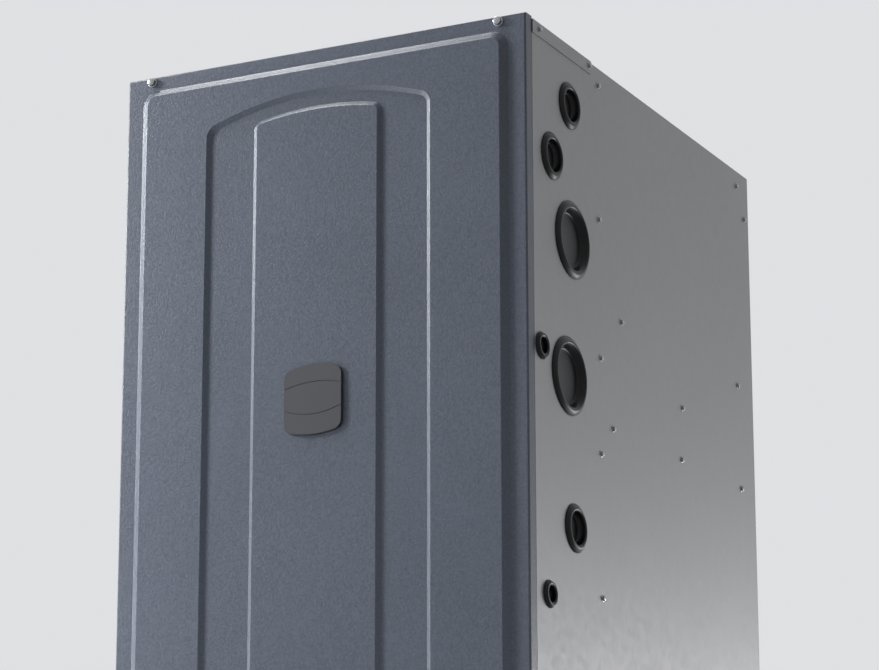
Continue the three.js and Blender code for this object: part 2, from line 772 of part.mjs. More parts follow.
function blowerDeck() {
  const heights = [deckHeight, deckHeight + innerSheet];
  const notchHalf = innerHalf - innerSheet - fitGap;
  const flangeFront = partitionBack + partitionFlange + fitGap;
  const back = insideBack - fitGap;
  const plate = block(about(0, innerHalf), [flangeFront, back], heights);
  const tongue = block(about(0, notchHalf), [panelBack + fitGap, back], heights);
  const flanges = sides.map(({ sign }) => block(span(sign, innerHalf - innerSheet, innerHalf),
    [flangeFront, back], [deckHeight, deckHeight + deckFlange]));
  const outlet = block(about(0, blowerWidth / 2),
    [blowerBack + scrollThroat - blowerSheet, blowerBack + scrollEnd + blowerSheet],
    [deckHeight - cutReach, deckHeight + deckFlange]);
  return cut(join(plate, tongue, ...flanges), outlet);
}

// ---------------------------------------------------------------- front door

// The plan of the door's tray: rounded front corners, open ends at the back.
function trayPlan(inset, back) {
  const half = halfWidth - inset;
  const radius = doorEdgeRadius - inset;
  const plan = new THREE.Shape();
  plan.moveTo(-half, back);
  plan.lineTo(-half, inset + radius);
  plan.absarc(-half + radius, inset + radius, radius, Math.PI, Math.PI * 1.5);
  plan.absarc(half - radius, inset + radius, radius, Math.PI * 1.5, Math.PI * 2);
  plan.lineTo(half, back);
  return plan;
}

// The pressed relief: a raised panel, an arched channel in it, and a raised inner arch.
function doorRelief() {
  const panelHalf = halfWidth - panelInset - panelRun;
  const panelEnds = [doorFloorGap + panelTopInset + panelRun, doorTop - panelTopInset - panelRun];
  const panel = slopedField(rectangle(panelHalf, ...panelEnds, panelCornerRadius),
    -panelRise, panelRise, panelRun, reliefCore);
  const channelShape = archOutline(channelHalfWidth, doorTop - channelPeakDrop, channelArcRadius,
    channelCornerRadius, channelFloorGap);
  const channelFoot = channelDepth - panelRise;
  const channelTool = slopedField(channelShape, channelFoot - 2 * channelDepth - panelRise,
    channelDepth, channelRun, panelRise).translate([archShift, 0, 0]);
  const innerShape = archOutline(innerHalfWidth, doorTop - innerPeakDrop, innerArcRadius,
    innerCornerRadius, innerFloorGap);
  const inner = slopedField(innerShape, -panelRise, channelDepth, channelRun, reliefCore)
    .translate([archShift, 0, 0]);
  return join(cut(panel, channelTool), inner);
}

function frontDoor() {
  const relief = doorRelief();
  const outer = slabZ(trayPlan(0, doorDepth), [doorFloorGap, doorTop]);
  const hollow = slabZ(trayPlan(doorSheet, doorDepth - doorSheet),
    [doorFloorGap + doorSheet, doorTop - doorSheet]);
  const mouth = block(about(0, halfWidth - doorLipWidth),
    [doorDepth - 2 * doorSheet, doorDepth + cutReach],
    [doorFloorGap + doorLipWidth, doorTop - doorLipWidth]);
  const screwHoles = sides.map(({ sign }) => drill('y', screwShankRadius + screwHoleGap,
    [0, doorDepth], [sign * (halfWidth - doorScrewInset), doorTop - doorScrewDrop], smallSides));
  return cut(join(outer, relief), hollow, relief.translate([0, doorSheet, 0]), mouth, ...screwHoles);
}

function doorInsulation() {
  const front = doorSheet + fitGap;
  return block(about(0, halfWidth - doorPadInset), [front, front + doorPadThickness],
    [doorFloorGap + doorPadInset, doorTop - doorPadInset]);
}

function doorBadge() {
  const half = badgeWidth / 2;
  const corner = badgeCornerRadius;
  const sideEnd = badgeHeight / 2 - badgeCrown; // half height of the straight sides
  const shoulder = sideEnd + badgeCornerLift;
  const crown = badgeHeight / 2 + badgeCrown - badgeCornerLift;
  const shape = new THREE.Shape();
  shape.moveTo(-half, -sideEnd + corner);
  shape.quadraticCurveTo(-half, -sideEnd, -half + corner, -shoulder);
  shape.quadraticCurveTo(0, -crown, half - corner, -shoulder);
  shape.quadraticCurveTo(half, -sideEnd, half, -sideEnd + corner);
  shape.lineTo(half, sideEnd - corner);
  shape.quadraticCurveTo(half, sideEnd, half - corner, shoulder);
  shape.quadraticCurveTo(0, crown, -half + corner, shoulder);
  shape.quadraticCurveTo(-half, sideEnd, -half, sideEnd - corner);
  return slabY(shape, [-badgeFace, -panelRise - fitGap], 5)
    .translate([archShift, 0, doorTop - badgeDrop]);
}

function doorScrew(sign) {
  const place = [sign * (halfWidth - doorScrewInset), -fitGap, doorTop - doorScrewDrop];
  const washer = rod(screwWasherRadius, screwWasherHeight, '-y', place, plainSides);
  const headRadius = screwHeadWidth / Math.sqrt(3);
  const head = rod(headRadius, screwWasherHeight + screwHeadHeight, '-y', place, hexSides);
  const shank = turned([
    [0, 0],
    [screwShankRadius, 0],
    [screwShankRadius, screwShankLength - screwShankRadius],
    [0, screwShankLength],
  ], 'y', place, roughSides);
  return join(washer, head, shank);
}

// ---------------------------------------------------------------- side plugs

function sidePlug({ size, back, drop }, sign) {
  const { flange, rim, disc, count } = plugSizes[size];
  const skirt = rim / 2 - plugSkirtGap;
  const inside = -wrapperSheet - plugDiscDepth;
  const profile = [
    [0, -plugReach],
    [skirt, inside],
    [skirt, fitGap],
    [flange / 2, fitGap],
    [flange / 2, fitGap + plugEdge],
    [rim / 2 + plugWall, plugProud],
    [rim / 2 - plugWall, plugProud],
    [disc / 2, -plugDiscDepth],
    [0, -plugDiscDepth],
  ];
  const axis = sign > 0 ? 'x' : '-x';
  return turned(profile, axis, [sign * halfWidth, back, doorTop - drop], count);
}

// ---------------------------------------------------------------- heat exchanger

function heatTube(x) {
  const rearCorner = cabinetDepth - tubeRearGap - tubeRadius;
  const frontCorner = partitionBack + tubeFrontGap + tubeRadius;
  return routed([
    [x, partitionBack - tubeProud, tubeTopHeight],
    [x, rearCorner, tubeTopHeight],
    [x, rearCorner, tubeMidHeight],
    [x, frontCorner, tubeMidHeight],
    [x, frontCorner, tubeLowHeight],
    [x, transitionFront + tubeProud, tubeLowHeight],
  ], tubeBendRadius, tubeRadius, tubeRadius - tubeWall, smallSides);
}

// Flue gas turns from the tubes into the coil in this tray. It has no front: the coil's rear
// plate closes it.
function transitionBox() {
  const [low, high] = transitionHeights;
  const shell = block(about(0, exchangerHalf), [transitionFront, transitionBack], transitionHeights);
  const space = block(about(0, exchangerHalf - tubeWall),
    [transitionFront - cutReach, transitionBack - tubeWall], [low + tubeWall, high - tubeWall]);
  return cut(shell, space);
}

// The coil's rear plate stands taller than the coil, and the tubes end in it.
function secondaryCoil() {
  const heights = [coilBottom, coilTop];
  const rear = [coilBack - coilPlate, coilBack];
  const frontPlate = block(about(0, coilHalf), [coilFront, coilFront + coilPlate], heights);
  const rearPlate = cut(block(about(0, exchangerHalf), rear, transitionHeights),
    ...tubeHoles(rear, tubeLowHeight));
  const core = block(about(0, coilHalf - coilPlate),
    [coilFront + coilCoreInset, coilBack - coilCoreInset],
    [coilBottom + coilPlate, coilTop - coilPlate]);
  const rowPitch = (coilHeight - 2 * coilRim) / coilRowCount;
  const tubePitch = (2 * coilHalf - 4 * coilRim) / coilTubesPerRow;
  const tubes = [];
  for (let row = 0; row < coilRowCount; row += 1) {
    for (let column = 0; column < coilTubesPerRow; column += 1) {
      const x = (column - (coilTubesPerRow - 1) / 2) * tubePitch;
      const z = coilBottom + coilHeight / 2 + (row - (coilRowCount - 1) / 2) * rowPitch;
      tubes.push(rod(coilTubeRadius, coilBack - coilFront, 'y', [x, coilFront, z], roughSides));
    }
  }
  return join(core, frontPlate, rearPlate, ...tubes);
}

function collectorBox() {
  const portLength = 14;
  const front = [collectorFront, collectorFront + collectorWall];
  const floor = [collectorLow, collectorLow + collectorWall];
  const shell = block(about(0, exchangerHalf), [collectorFront, partitionSeat],
    [collectorLow, collectorHigh]);
  const space = block(about(0, exchangerHalf - collectorWall),
    [front[1], partitionSeat + cutReach], [floor[1], collectorHigh - collectorWall]);
  const eye = drill('y', inducerEyeRadius, front, [inducerRight, inducerHeight]);
  const drain = [-trapLeft, collectorMiddle];
  const drainPort = rod(trapPortRadius, portLength + cutReach, '-z',
    [...drain, collectorLow + cutReach], smallSides);
  const drainBore = drill('z', trapPortRadius - trapPortWall, [collectorLow - portLength, floor[1]],
    drain, roughSides);
  const tap = rod(tapRadius, tapLength + cutReach, '-y',
    [-pressureSwitchLeft, collectorFront + cutReach, tapHeight], roughSides);
  return join(cut(join(shell, drainPort), space, eye, drainBore), tap);
}

// ---------------------------------------------------------------- scroll housings

// A fan scroll about its axis at (0, 0): it opens upwards, on the far side of the axis.
function scrollOutline(start, end, throat, top, steps) {
  const sweep = Math.PI * 1.5 + Math.asin(throat / start);
  const shape = new THREE.Shape();
  shape.moveTo(throat, top);
  shape.lineTo(end, top);
  for (let step = 0; step <= steps; step += 1) {
    const share = step / steps;
    const radius = end + (start - end) * share;
    shape.lineTo(radius * Math.cos(sweep * share), -radius * Math.sin(sweep * share));
  }
  return shape;
}

function moved(shape, u, v) {
  return new THREE.Shape(shape.getPoints().map((point) => point.add(new THREE.Vector2(u, v))));
}

const bladeRing = (count, make) => Array.from({ length: count }, (_, i) => make((360 * i) / count));

// ---------------------------------------------------------------- inducer

function inducerHousing() {
  const inner = inducerScrollEnd - inducerThroatWidth;
  const wall = inducerWall;
  const top = inducerThroatTop - inducerHeight;
  const depths = [inducerFrontFace, inducerBackFace];
  const steps = 18;
  const outerShape = moved(scrollOutline(inducerScrollStart + wall, inducerScrollEnd + wall,
    inner - wall, top, steps), inducerRight, inducerHeight);
  const innerShape = moved(scrollOutline(inducerScrollStart, inducerScrollEnd, inner,
    top - wall, steps), inducerRight, inducerHeight);
  const shell = slabY(outerShape, depths);
  const space = slabY(innerShape, [depths[0] + wall, depths[1] - wall]);
  const spigotFoot = inducerThroatTop - 2 * wall;
  const spigotRadius = ventPipeRadius - ventPipeWall - fitGap;
  const spigot = rod(spigotRadius, inducerSpigotTop - spigotFoot, 'z',
    [ventRight, inducerMiddle, spigotFoot], fineSides);
  const bore = rod(inducerWidth / 2 - wall, 2 * inducerSpigotRise, 'z',
    [ventRight, inducerMiddle, spigotFoot - 2 * wall], holeSides);
  const axis = [inducerRight, inducerHeight];
  const eye = drill('y', inducerEyeRadius, [inducerBackFace - wall, inducerBackFace], axis);
  const shaftHole = drill('y', inducerShaftRadius + 1, [inducerFrontFace, inducerFrontFace + wall],
    axis, roughSides);
  return cut(join(shell, cut(spigot, collectorSideCut())), space, bore, eye, shaftHole);
}

// The spigot is flattened where it would reach into the collector box.
function collectorSideCut() {
  return block(about(ventRight, collarRadius),
    [inducerBackFace, inducerBackFace + collarRadius], [0, collectorHigh + fitGap]);
}

function inducerWheel() {
  const discThickness = 2;
  const hubLength = inducerWheelWidth - 3 * discThickness;
  const back = inducerMiddle + inducerWheelWidth / 2;
  const front = back - inducerWheelWidth;
  const disc = rod(inducerWheelRadius, discThickness, 'y', [0, front, 0], fineSides);
  const hub = rod(inducerHubRadius, hubLength, 'y', [0, front, 0], smallSides);
  const shaftStart = inducerFrontFace - fitGap;
  const shaft = rod(inducerShaftRadius, front - shaftStart + discThickness, 'y',
    [0, shaftStart, 0], roughSides);
  const blades = bladeRing(inducerBlades, (angle) => block(
    [inducerEyeRadius, inducerWheelRadius - cutReach],
    [front + discThickness / 2, back], [0, inducerBladeThickness]).rotate([0, angle, 0]));
  return join(disc, hub, shaft, ...blades).translate([inducerRight, 0, inducerHeight]);
}

function inducerMotor() {
  const flange = 6;
  const flangeHeight = 3;
  const bearing = 12;
  const radius = inducerMotorRadius;
  return turned([
    [0, 0],
    [radius + flange, 0],
    [radius + flange, flangeHeight],
    [radius, flangeHeight],
    [radius, inducerMotorLength - flange],
    [radius - flange, inducerMotorLength],
    [bearing, inducerMotorLength],
    [bearing, inducerMotorLength + flange],
    [0, inducerMotorLength + flange],
  ], '-y', [inducerRight, inducerFrontFace - 2 * fitGap, inducerHeight], fineSides);
}

function ventPipe() {
  const foot = inducerSpigotTop - ventOverlap;
  const collarFoot = topPlateFace + fitGap - foot;
  const inner = ventPipeRadius - ventPipeWall;
  const end = collarTop - foot;
  return turned([
    [inner, 0],
    [ventPipeRadius, 0],
    [ventPipeRadius, collarFoot],
    [collarRadius, collarFoot],
    [collarRadius, end],
    [inner, end],
    [inner, 0],
  ], 'z', [ventRight, inducerMiddle, foot], fineSides);
}

// ---------------------------------------------------------------- burners and gas train

function burnerBox() {
  const depths = [burnerBoxFront, partitionSeat];
  const ceiling = [boxTop - innerSheet, boxTop];
  const shell = block(about(0, burnerBoxHalf), depths, [boxBottom, boxTop]);
  const space = block(about(0, burnerBoxHalf - innerSheet),
    [depths[0] - cutReach, depths[1] + cutReach], [boxBottom + innerSheet, ceiling[0]]);
  const foot = block(about(0, burnerBoxHalf), [partitionSeat - innerSheet, partitionSeat],
    [boxBottom - burnerBoxLip, boxBottom + innerSheet]);
  const airHole = drill('z', airInletRadius + fitGap, ceiling, [-airInletLeft, airInletBack]);
  const pipeHole = drill('x', manifoldRadius + 2 * fitGap,
    [-burnerBoxHalf, innerSheet - burnerBoxHalf], [manifoldBack, tubeTopHeight]);
  return cut(join(cut(shell, space), foot), airHole, pipeHole);
}

function burnerBoxCover() {
  const depths = [coverFront, coverFront + innerSheet];
  const plate = block(about(0, burnerBoxHalf), depths, [boxBottom, boxTop]);
  return cut(plate, drill('y', sightRadius, depths, [0, tubeTopHeight]));
}

function sightGlass() {
  const rim = 4;
  return turned([
    [0, 0],
    [sightGlassRadius, 0],
    [sightGlassRadius, sightGlassDepth / 2],
    [sightGlassRadius - rim, sightGlassDepth],
    [0, sightGlassDepth],
  ], '-y', [0, coverSeat, tubeTopHeight], plainSides);
}

function burnerSet() {
  const wall = burnerWall;
  const profile = [
    [burnerMouthRadius, 0],
    [burnerThroatRadius, burnerThroatReach],
    [burnerOutletRadius, burnerFlareReach],
    [burnerOutletRadius, burnerLength],
    [burnerOutletRadius - wall, burnerLength],
    [burnerOutletRadius - wall, burnerFlareReach],
    [burnerThroatRadius - wall, burnerThroatReach],
    [burnerMouthRadius - wall, 0],
    [burnerMouthRadius, 0],
  ];
  const bridgeBack = burnerRear - burnerBridgeGap;
  const bridgeDepths = [bridgeBack - burnerBridgeDepth, bridgeBack];
  const bridge = block(about(0, burnerBoxHalf - innerSheet - fitGap), bridgeDepths,
    about(tubeTopHeight, burnerBridgeHeight / 2));
  const bores = tubePlaces.map((x) => rod(burnerOutletRadius - wall,
    burnerBridgeDepth + 2 * cutReach, 'y', [x, bridgeDepths[0] - cutReach, tubeTopHeight]));
  const burners = tubePlaces.map((x) => turned(profile, 'y', [x, burnerFront, tubeTopHeight]));
  return join(cut(bridge, ...bores), ...burners);
}

function gasManifold() {
  const run = routed([
    [outerBurner + 2 * manifoldRadius, manifoldBack, tubeTopHeight],
    [-manifoldLeft, manifoldBack, tubeTopHeight],
    [-manifoldLeft, manifoldBack, valveTop + fitGap],
  ], manifoldBend, manifoldRadius, 0, smallSides);
  const reach = manifoldGap + orificeTipRadius;
  const orifices = tubePlaces.map((x) => turned([
    [0, 0],
    [orificeRadius, 0],
    [orificeRadius, reach - orificeTip],
    [orificeTipRadius, reach],
    [0, reach],
  ], 'y', [x, manifoldBack, tubeTopHeight], smallSides));
  return join(run, ...orifices);
}

function gasValve() {
  const neckRadius = 17;
  const neckHeight = 10;
  const inletRadiusOutside = 19;
  const inletHeight = 12;
  const overlap = 2;
  const solenoidRadius = 20;
  const solenoidLength = 24;
  const solenoidDrop = 50;
  const low = valveTop - valveHeight;
  const valveBack = valveFront + valveDepth;
  const body = block(about(-manifoldLeft, valveWidth / 2), [valveFront, valveBack],
    [low, valveTop - neckHeight]);
  const neck = rod(neckRadius, neckHeight + overlap, 'z',
    [-manifoldLeft, manifoldBack, valveTop - neckHeight - overlap], roughSides);
  const inlet = rod(inletRadiusOutside, inletHeight + overlap, '-z',
    [-manifoldLeft, manifoldBack, low + overlap], roughSides);
  const solenoid = rod(solenoidRadius, solenoidLength + overlap, 'y',
    [-manifoldLeft, valveBack - overlap, valveTop - solenoidDrop], plainSides);
  const inletBore = rod(manifoldRadius, inletHeight + overlap, '-z',
    [-manifoldLeft, manifoldBack, low], smallSides);
  return cut(join(body, neck, inlet, solenoid), inletBore);
}

function valveKnob() {
  const chamfer = 2;
  const foot = [-manifoldLeft, valveFront - fitGap, knobUp];
  const dial = turned([
    [0, 0],
    [knobRadius, 0],
    [knobRadius, knobDial - chamfer / 2],
    [knobRadius - chamfer, knobDial],
    [0, knobDial],
  ], '-y', foot, fineSides);
  const grip = block(about(-manifoldLeft, knobGrip / 2),
    [foot[1] - knobHeight, foot[1] - knobDial + chamfer], about(knobUp, knobRadius - chamfer / 2));
  return join(dial, grip);
}

function airInletCollar() {
  const foot = boxTop - innerSheet;
  const seat = boxTop + fitGap - foot;
  const collarFoot = topPlateFace + fitGap - foot;
  const inner = airInletRadius - ventPipeWall;
  const flange = airInletRadius + airFlangeWidth;
  return turned([
    [inner, 0],
    [airInletRadius, 0],
    [airInletRadius, seat],
    [flange, seat],
    [flange, seat + airFlangeHeight],
    [airInletRadius, seat + airFlangeHeight],
    [airInletRadius, collarFoot],
    [collarRadius, collarFoot],
    [collarRadius, collarTop - foot],
    [inner, collarTop - foot],
    [inner, 0],
  ], 'z', [-airInletLeft, airInletBack, foot], fineSides);
}

function igniter() {
  const x = outerBurner;
  const front = burnerRear + igniterGap;
  const holderTop = boxFloor + igniterWidth;
  const holder = block(about(x, igniterWidth / 2), [front, front + igniterDepth],
    [boxFloor, holderTop]);
  const blade = block(about(x, igniterWidth / 4), [front + igniterDepth / 3,
    front + (igniterDepth * 2) / 3], [holderTop - cutReach, tubeTopHeight - flameGap]);
  return join(holder, blade);
}

function flameSensor() {
  const base = 7;
  const baseHeight = 3;
  const insulator = 4.5;
  const insulatorTop = 20;
  const probe = 1.5;
  const height = tubeTopHeight - flameGap - boxFloor;
  return turned([
    [0, 0],
    [base, 0],
    [base, baseHeight],
    [insulator, baseHeight + 1],
    [insulator, insulatorTop],
    [probe, insulatorTop + 1],
    [probe, height],
    [0, height],
  ], 'z', [-outerBurner, burnerRear + igniterGap + igniterDepth / 2, boxFloor], smallSides);
}

function rolloutSwitch() {
  const step = 2;
  const body = turned([
    [0, 0],
    [rolloutRadius, 0],
    [rolloutRadius, 2 * step],
    [rolloutRadius - step, 2.5 * step],
    [rolloutRadius - step, rolloutDepth],
    [0, rolloutDepth],
  ], '-y', [rolloutRight, coverSeat, rolloutHeight], plainSides);
  const wings = block(about(rolloutRight, rolloutWing), [coverSeat - innerSheet, coverSeat],
    about(rolloutHeight, rolloutRadius / 2));
  const bore = drill('y', resetRadius + fitGap, [rolloutFace, rolloutFace + resetLength - 2],
    [rolloutRight, rolloutHeight], smallSides);
  return cut(join(body, wings), bore);
}

const resetButton = () => rod(resetRadius, resetLength, 'y',
  [rolloutRight, rolloutFace - resetProud, rolloutHeight], smallSides);

// ---------------------------------------------------------------- pressure switch and drain

function pressureSwitch() {
  const radius = pressureSwitchRadius;
  const depth = pressureSwitchDepth;
  const step = 4;
  const boss = 10;
  const body = turned([
    [0, 0],
    [radius - step, 0],
    [radius - step, depth * 0.35],
    [radius, depth * 0.4],
    [radius, depth * 0.6],
    [radius - step, depth * 0.7],
    [boss + step, depth * 0.75],
    [boss, depth],
    [tapRadius, depth],
    [tapRadius, depth + tapLength],
    [0, depth + tapLength],
  ], '-y', [-pressureSwitchLeft, partitionSeat, pressureSwitchHeight], fineSides);
  const bracket = block(about(-pressureSwitchLeft, pressureBracketHalf / 3),
    [partitionSeat - innerSheet, partitionSeat], about(pressureSwitchHeight, pressureBracketHalf));
  return join(body, bracket);
}

function pressureHose() {
  const front = collectorFront - hoseReach;
  return routed([
    [-pressureSwitchLeft, collectorFront - fitGap, tapHeight],
    [-pressureSwitchLeft, front, tapHeight],
    [-pressureSwitchLeft, front, pressureSwitchHeight],
    [-pressureSwitchLeft, pressureSwitchFace - fitGap, pressureSwitchHeight],
  ], hoseBend, hoseRadius, hoseRadius - hoseWall, roughSides, 4);
}

function condensateTrap() {
  const overlap = 2;
  const outletRise = 20;
  const outletLength = 16;
  const sideLeft = -trapLeft - trapWidth / 2;
  const depths = [partitionSeat - trapDepth, partitionSeat];
  const body = block(about(-trapLeft, trapWidth / 2), depths, [trapTop - trapHeight, trapTop]);
  const step = block([sideLeft - cutReach, -trapLeft - trapPortRadius / 2],
    [depths[0] - cutReach, depths[1] + cutReach], [trapTop - trapStep, trapTop + cutReach]);
  const inlet = rod(trapPortRadius, trapPortLength, 'z',
    [trapInlet, collectorMiddle, trapTop - overlap], smallSides);
  const bore = rod(trapPortRadius - trapPortWall, trapStep + 2 * trapPortLength, 'z',
    [trapInlet, collectorMiddle, trapTop - trapStep], roughSides);
  const outlet = rod(trapPortRadius, outletLength + overlap, '-x',
    [sideLeft + overlap, collectorMiddle, trapTop - trapHeight + outletRise], smallSides);
  return cut(join(cut(body, step), inlet, outlet), bore);
}

function drainHose() {
  const top = collectorLow - fitGap;
  const foot = trapTop + fitGap;
  const crank = (top - foot) / 2 - trapShift / 4; // straight length at each end
  return routed([
    [-trapLeft, collectorMiddle, top],
    [-trapLeft, collectorMiddle, top - crank],
    [trapInlet, collectorMiddle, foot + crank],
    [trapInlet, collectorMiddle, foot],
  ], drainHoseBend, drainHoseRadius, drainHoseBore, smallSides, 2);
}

// ---------------------------------------------------------------- controls

function controlBoard() {
  const inset = boardMargin / 2;
  const back = partitionSeat - boardStandoff;
  const face = back - boardThickness;
  const x = [-boardLeft, -boardLeft + boardWidth];
  const z = [boardBottom, boardBottom + boardHeight];
  const onCard = (across, depth, up) => block(across, [face - depth, face + boardSink], up);
  const card = block(x, [face, back], z);
  const posts = [x[0] + inset, x[1] - inset].flatMap((px) => [z[0] + inset, z[1] - inset].map(
    (pz) => rod(boardPostRadius, boardStandoff + boardSink, 'y', [px, back - boardSink, pz],
      roughSides)));
  const relayTop = z[1] - boardMargin;
  const relays = Array.from({ length: relayCount }, (_, i) => {
    const left = x[0] + boardMargin + i * relayPitch;
    return onCard([left, left + relayWidth], relayDepth, [relayTop - relayTall, relayTop]);
  });
  const terminals = onCard([x[0] + boardMargin, x[1] - boardMargin], terminalDepth,
    [z[0] + inset, z[0] + inset + terminalHeight]);
  const socketRight = x[1] - boardMargin;
  const sockets = Array.from({ length: socketCount }, (_, i) => {
    const foot = z[0] + (i + 1) * socketPitch;
    return onCard([socketRight - socketWidth, socketRight], socketDepth, [foot, foot + socketTall]);
  });
  const chipLeft = x[0] + 2 * boardMargin;
  const chipFoot = z[0] + 3 * boardMargin;
  const chip = onCard([chipLeft, chipLeft + chipSide], chipDepth, [chipFoot, chipFoot + chipSide]);
  return join(card, ...posts, ...relays, terminals, ...sockets, chip);
}

function transformer() {
  const half = transformerWidth / 2;
  const ear = 12;
  const earInset = 8;
  const coilProud = 7;
  const coreDepth = transformerDepth * 0.7;
  const z = [transformerBottom, transformerBottom + transformerHeight];
  const foot = block(about(transformerRight, half + ear), [partitionSeat - innerSheet, partitionSeat],
    [z[0] + earInset, z[1] - earInset]);
  const core = block(about(transformerRight, half),
    [partitionSeat - coreDepth, partitionSeat - innerSheet / 2], z);
  const coil = block(about(transformerRight, half - ear),
    [partitionSeat - transformerDepth, partitionSeat - 2 * innerSheet],
    [z[0] - coilProud, z[1] + coilProud]);
  return join(foot, core, coil);
}

function doorSwitch() {
  const spadeWidth = 6;
  const spadeLength = 8;
  const spadeHalf = 0.5;
  const back = switchFront + switchDepth;
  const body = block(about(switchRight, switchWidth / 2), [switchFront, back],
    about(switchHeight, switchTall / 2));
  const spades = about(switchHeight, spadeWidth).map((z) => block(
    about(switchRight, spadeWidth / 2), [back - cutReach, back + spadeLength], about(z, spadeHalf)));
  const bore = drill('y', plungerRadius + plungerHoleGap, [switchFront, switchFront + plungerLength],
    [switchRight, switchHeight], smallSides);
  return cut(join(body, ...spades), bore);
}

function switchPlunger() {
  const tip = 0.7;
  return turned([
    [0, 0],
    [plungerRadius - tip, 0],
    [plungerRadius, tip],
    [plungerRadius, plungerLength],
    [0, plungerLength],
  ], 'y', [switchRight, doorDepth + fitGap, switchHeight], smallSides);
}

// ---------------------------------------------------------------- blower

function blowerHousing() {
  const half = blowerWidth / 2;
  const wall = blowerSheet;
  const top = deckHeight - fitGap;
  const rise = top - blowerHeight;
  const outerShape = moved(scrollOutline(scrollStart + wall, scrollEnd + wall,
    scrollThroat - wall, rise, scrollSteps), blowerBack, blowerHeight);
  const innerShape = moved(scrollOutline(scrollStart, scrollEnd, scrollThroat,
    rise + cutReach, scrollSteps), blowerBack, blowerHeight);
  const shell = slabX(outerShape, [-half, half]);
  const space = slabX(innerShape, [-half + wall, half - wall]);
  const ringInner = inletRadius + inletRingWall;
  const rings = sides.map(({ sign }) => pipe(ringInner + inletRingWall, ringInner, inletRingDepth,
    sign > 0 ? '-x' : 'x', [sign * half, blowerBack, blowerHeight], fineSides));
  const eye = rod(ringInner, blowerWidth + 2 * cutReach, 'x',
    [-half - cutReach, blowerBack, blowerHeight], fineSides);
  const throat = [blowerBack + scrollThroat, blowerBack + scrollEnd];
  const flange = cut(
    block(about(0, half + blowerRail), [throat[0] - blowerRail, throat[1] + blowerRail / 2],
      [top - wall, top]),
    block(about(0, half - wall), throat, [0, deckHeight]));
  return join(cut(shell, space, eye), ...rings, flange);
}

function blowerWheel() {
  const half = wheelWidth / 2;
  const inner = wheelRadius - wheelBladeDepth;
  const chord = wheelBladeDepth - wheelBladeThickness;
  const disc = rod(wheelRadius - cutReach, wheelDiscThickness, 'x', [-wheelDiscThickness / 2, 0, 0],
    wheelBladeCount);
  const rings = [-half, half - wheelRingHeight].map((x) =>
    pipe(wheelRadius, inner, wheelRingHeight, 'x', [x, 0, 0], wheelBladeCount));
  const hub = rod(hubRadius, hubLength, 'x', [-hubLength / 2 - hubShift, 0, 0], plainSides);
  const shaftStart = -hubLength;
  const shaft = rod(shaftRadius, motorFace - fitGap - shaftStart, 'x', [shaftStart, 0, 0],
    smallSides);
  const blade = block(about(0, half - cutReach), about(0, wheelBladeThickness / 2),
    about(0, chord / 2))
    .rotate([wheelBladeAngle, 0, 0])
    .translate([0, 0, (wheelRadius + inner) / 2]);
  const blades = bladeRing(wheelBladeCount, (angle) => blade.rotate([angle, 0, 0]));
  return join(disc, hub, shaft, ...rings, ...blades).translate([0, blowerBack, blowerHeight]);
}

function blowerMotor() {
  const boss = 18;
  const bossHeight = 4;
  const shoulder = 8;
  return turned([
    [0, 0],
    [boss, 0],
    [boss, bossHeight],
    [motorRadius - shoulder, bossHeight + 2],
    [motorRadius, bossHeight + shoulder],
    [motorRadius, motorLength - shoulder],
    [motorRadius - shoulder, motorLength],
    [0, motorLength],
  ], 'x', [motorFace, blowerBack, blowerHeight], fineSides);
}

function motorMount() {
  const start = blowerWidth / 2 + fitGap;
  const inner = motorRadius + fitGap;
  const band = pipe(inner + mountSheet, inner, mountRingWidth, 'x', [start, 0, 0], fineSides);
  const arm = block([start, start + mountSheet], about(0, mountArmWidth / 2),
    [inner + mountSheet / 2, inletRadius + mountArmGrip]);
  const arms = bladeRing(mountArmCount, (angle) => arm.rotate([angle, 0, 0]));
  return join(band, ...arms).translate([0, blowerBack, blowerHeight]);
}

// ---------------------------------------------------------------- all the pieces

addPiece('cabinet_wrapper', cabinetWrapper(), 'galvanised');
addPiece('base_pan', basePan(), 'galvanised');
addPiece('vestibule_top_plate', topPlate(), 'galvanised');
addPiece('vestibule_panel', vestibulePanel(), 'galvanised');
addPiece('blower_door', blowerDoor(), 'galvanised');
addPiece('blower_deck', blowerDeck(), 'galvanised');
addPiece('front_door', frontDoor(), 'slatePaint');
addPiece('door_insulation', doorInsulation(), 'foil');
addPiece('door_badge', doorBadge(), 'badgePlastic');
for (const { side, sign } of sides) {
  addPiece(`door_screw_${side}`, doorScrew(sign), 'zinc');
  for (const plug of plugPlaces) {
    addPiece(`plug_${side}_${plug.label}`, sidePlug(plug, sign), 'blackPlastic');
  }
}
tubePlaces.forEach((x, i) => addPiece(`heat_tube_${i + 1}`, heatTube(x), 'aluminised'));
addPiece('transition_box', transitionBox(), 'aluminised');
addPiece('secondary_coil', secondaryCoil(), 'aluminium');
addPiece('collector_box', collectorBox(), 'blackPlastic');
addPiece('inducer_housing', inducerHousing(), 'blackPlastic');
addPiece('inducer_wheel', inducerWheel(), 'blackPlastic');
addPiece('inducer_motor', inducerMotor(), 'zinc');
addPiece('vent_pipe', ventPipe(), 'whitePlastic');
addPiece('air_inlet_collar', airInletCollar(), 'rubber');
addPiece('burner_box', burnerBox(), 'aluminised');
addPiece('burner_box_cover', burnerBoxCover(), 'aluminised');
addPiece('sight_glass', sightGlass(), 'ceramic');
addPiece('burner_set', burnerSet(), 'aluminised');
addPiece('gas_manifold', gasManifold(), 'blackSteel');
addPiece('gas_valve', gasValve(), 'castMetal');
addPiece('gas_valve_knob', valveKnob(), 'redPlastic');
addPiece('igniter', igniter(), 'ceramic');
addPiece('flame_sensor', flameSensor(), 'ceramic');
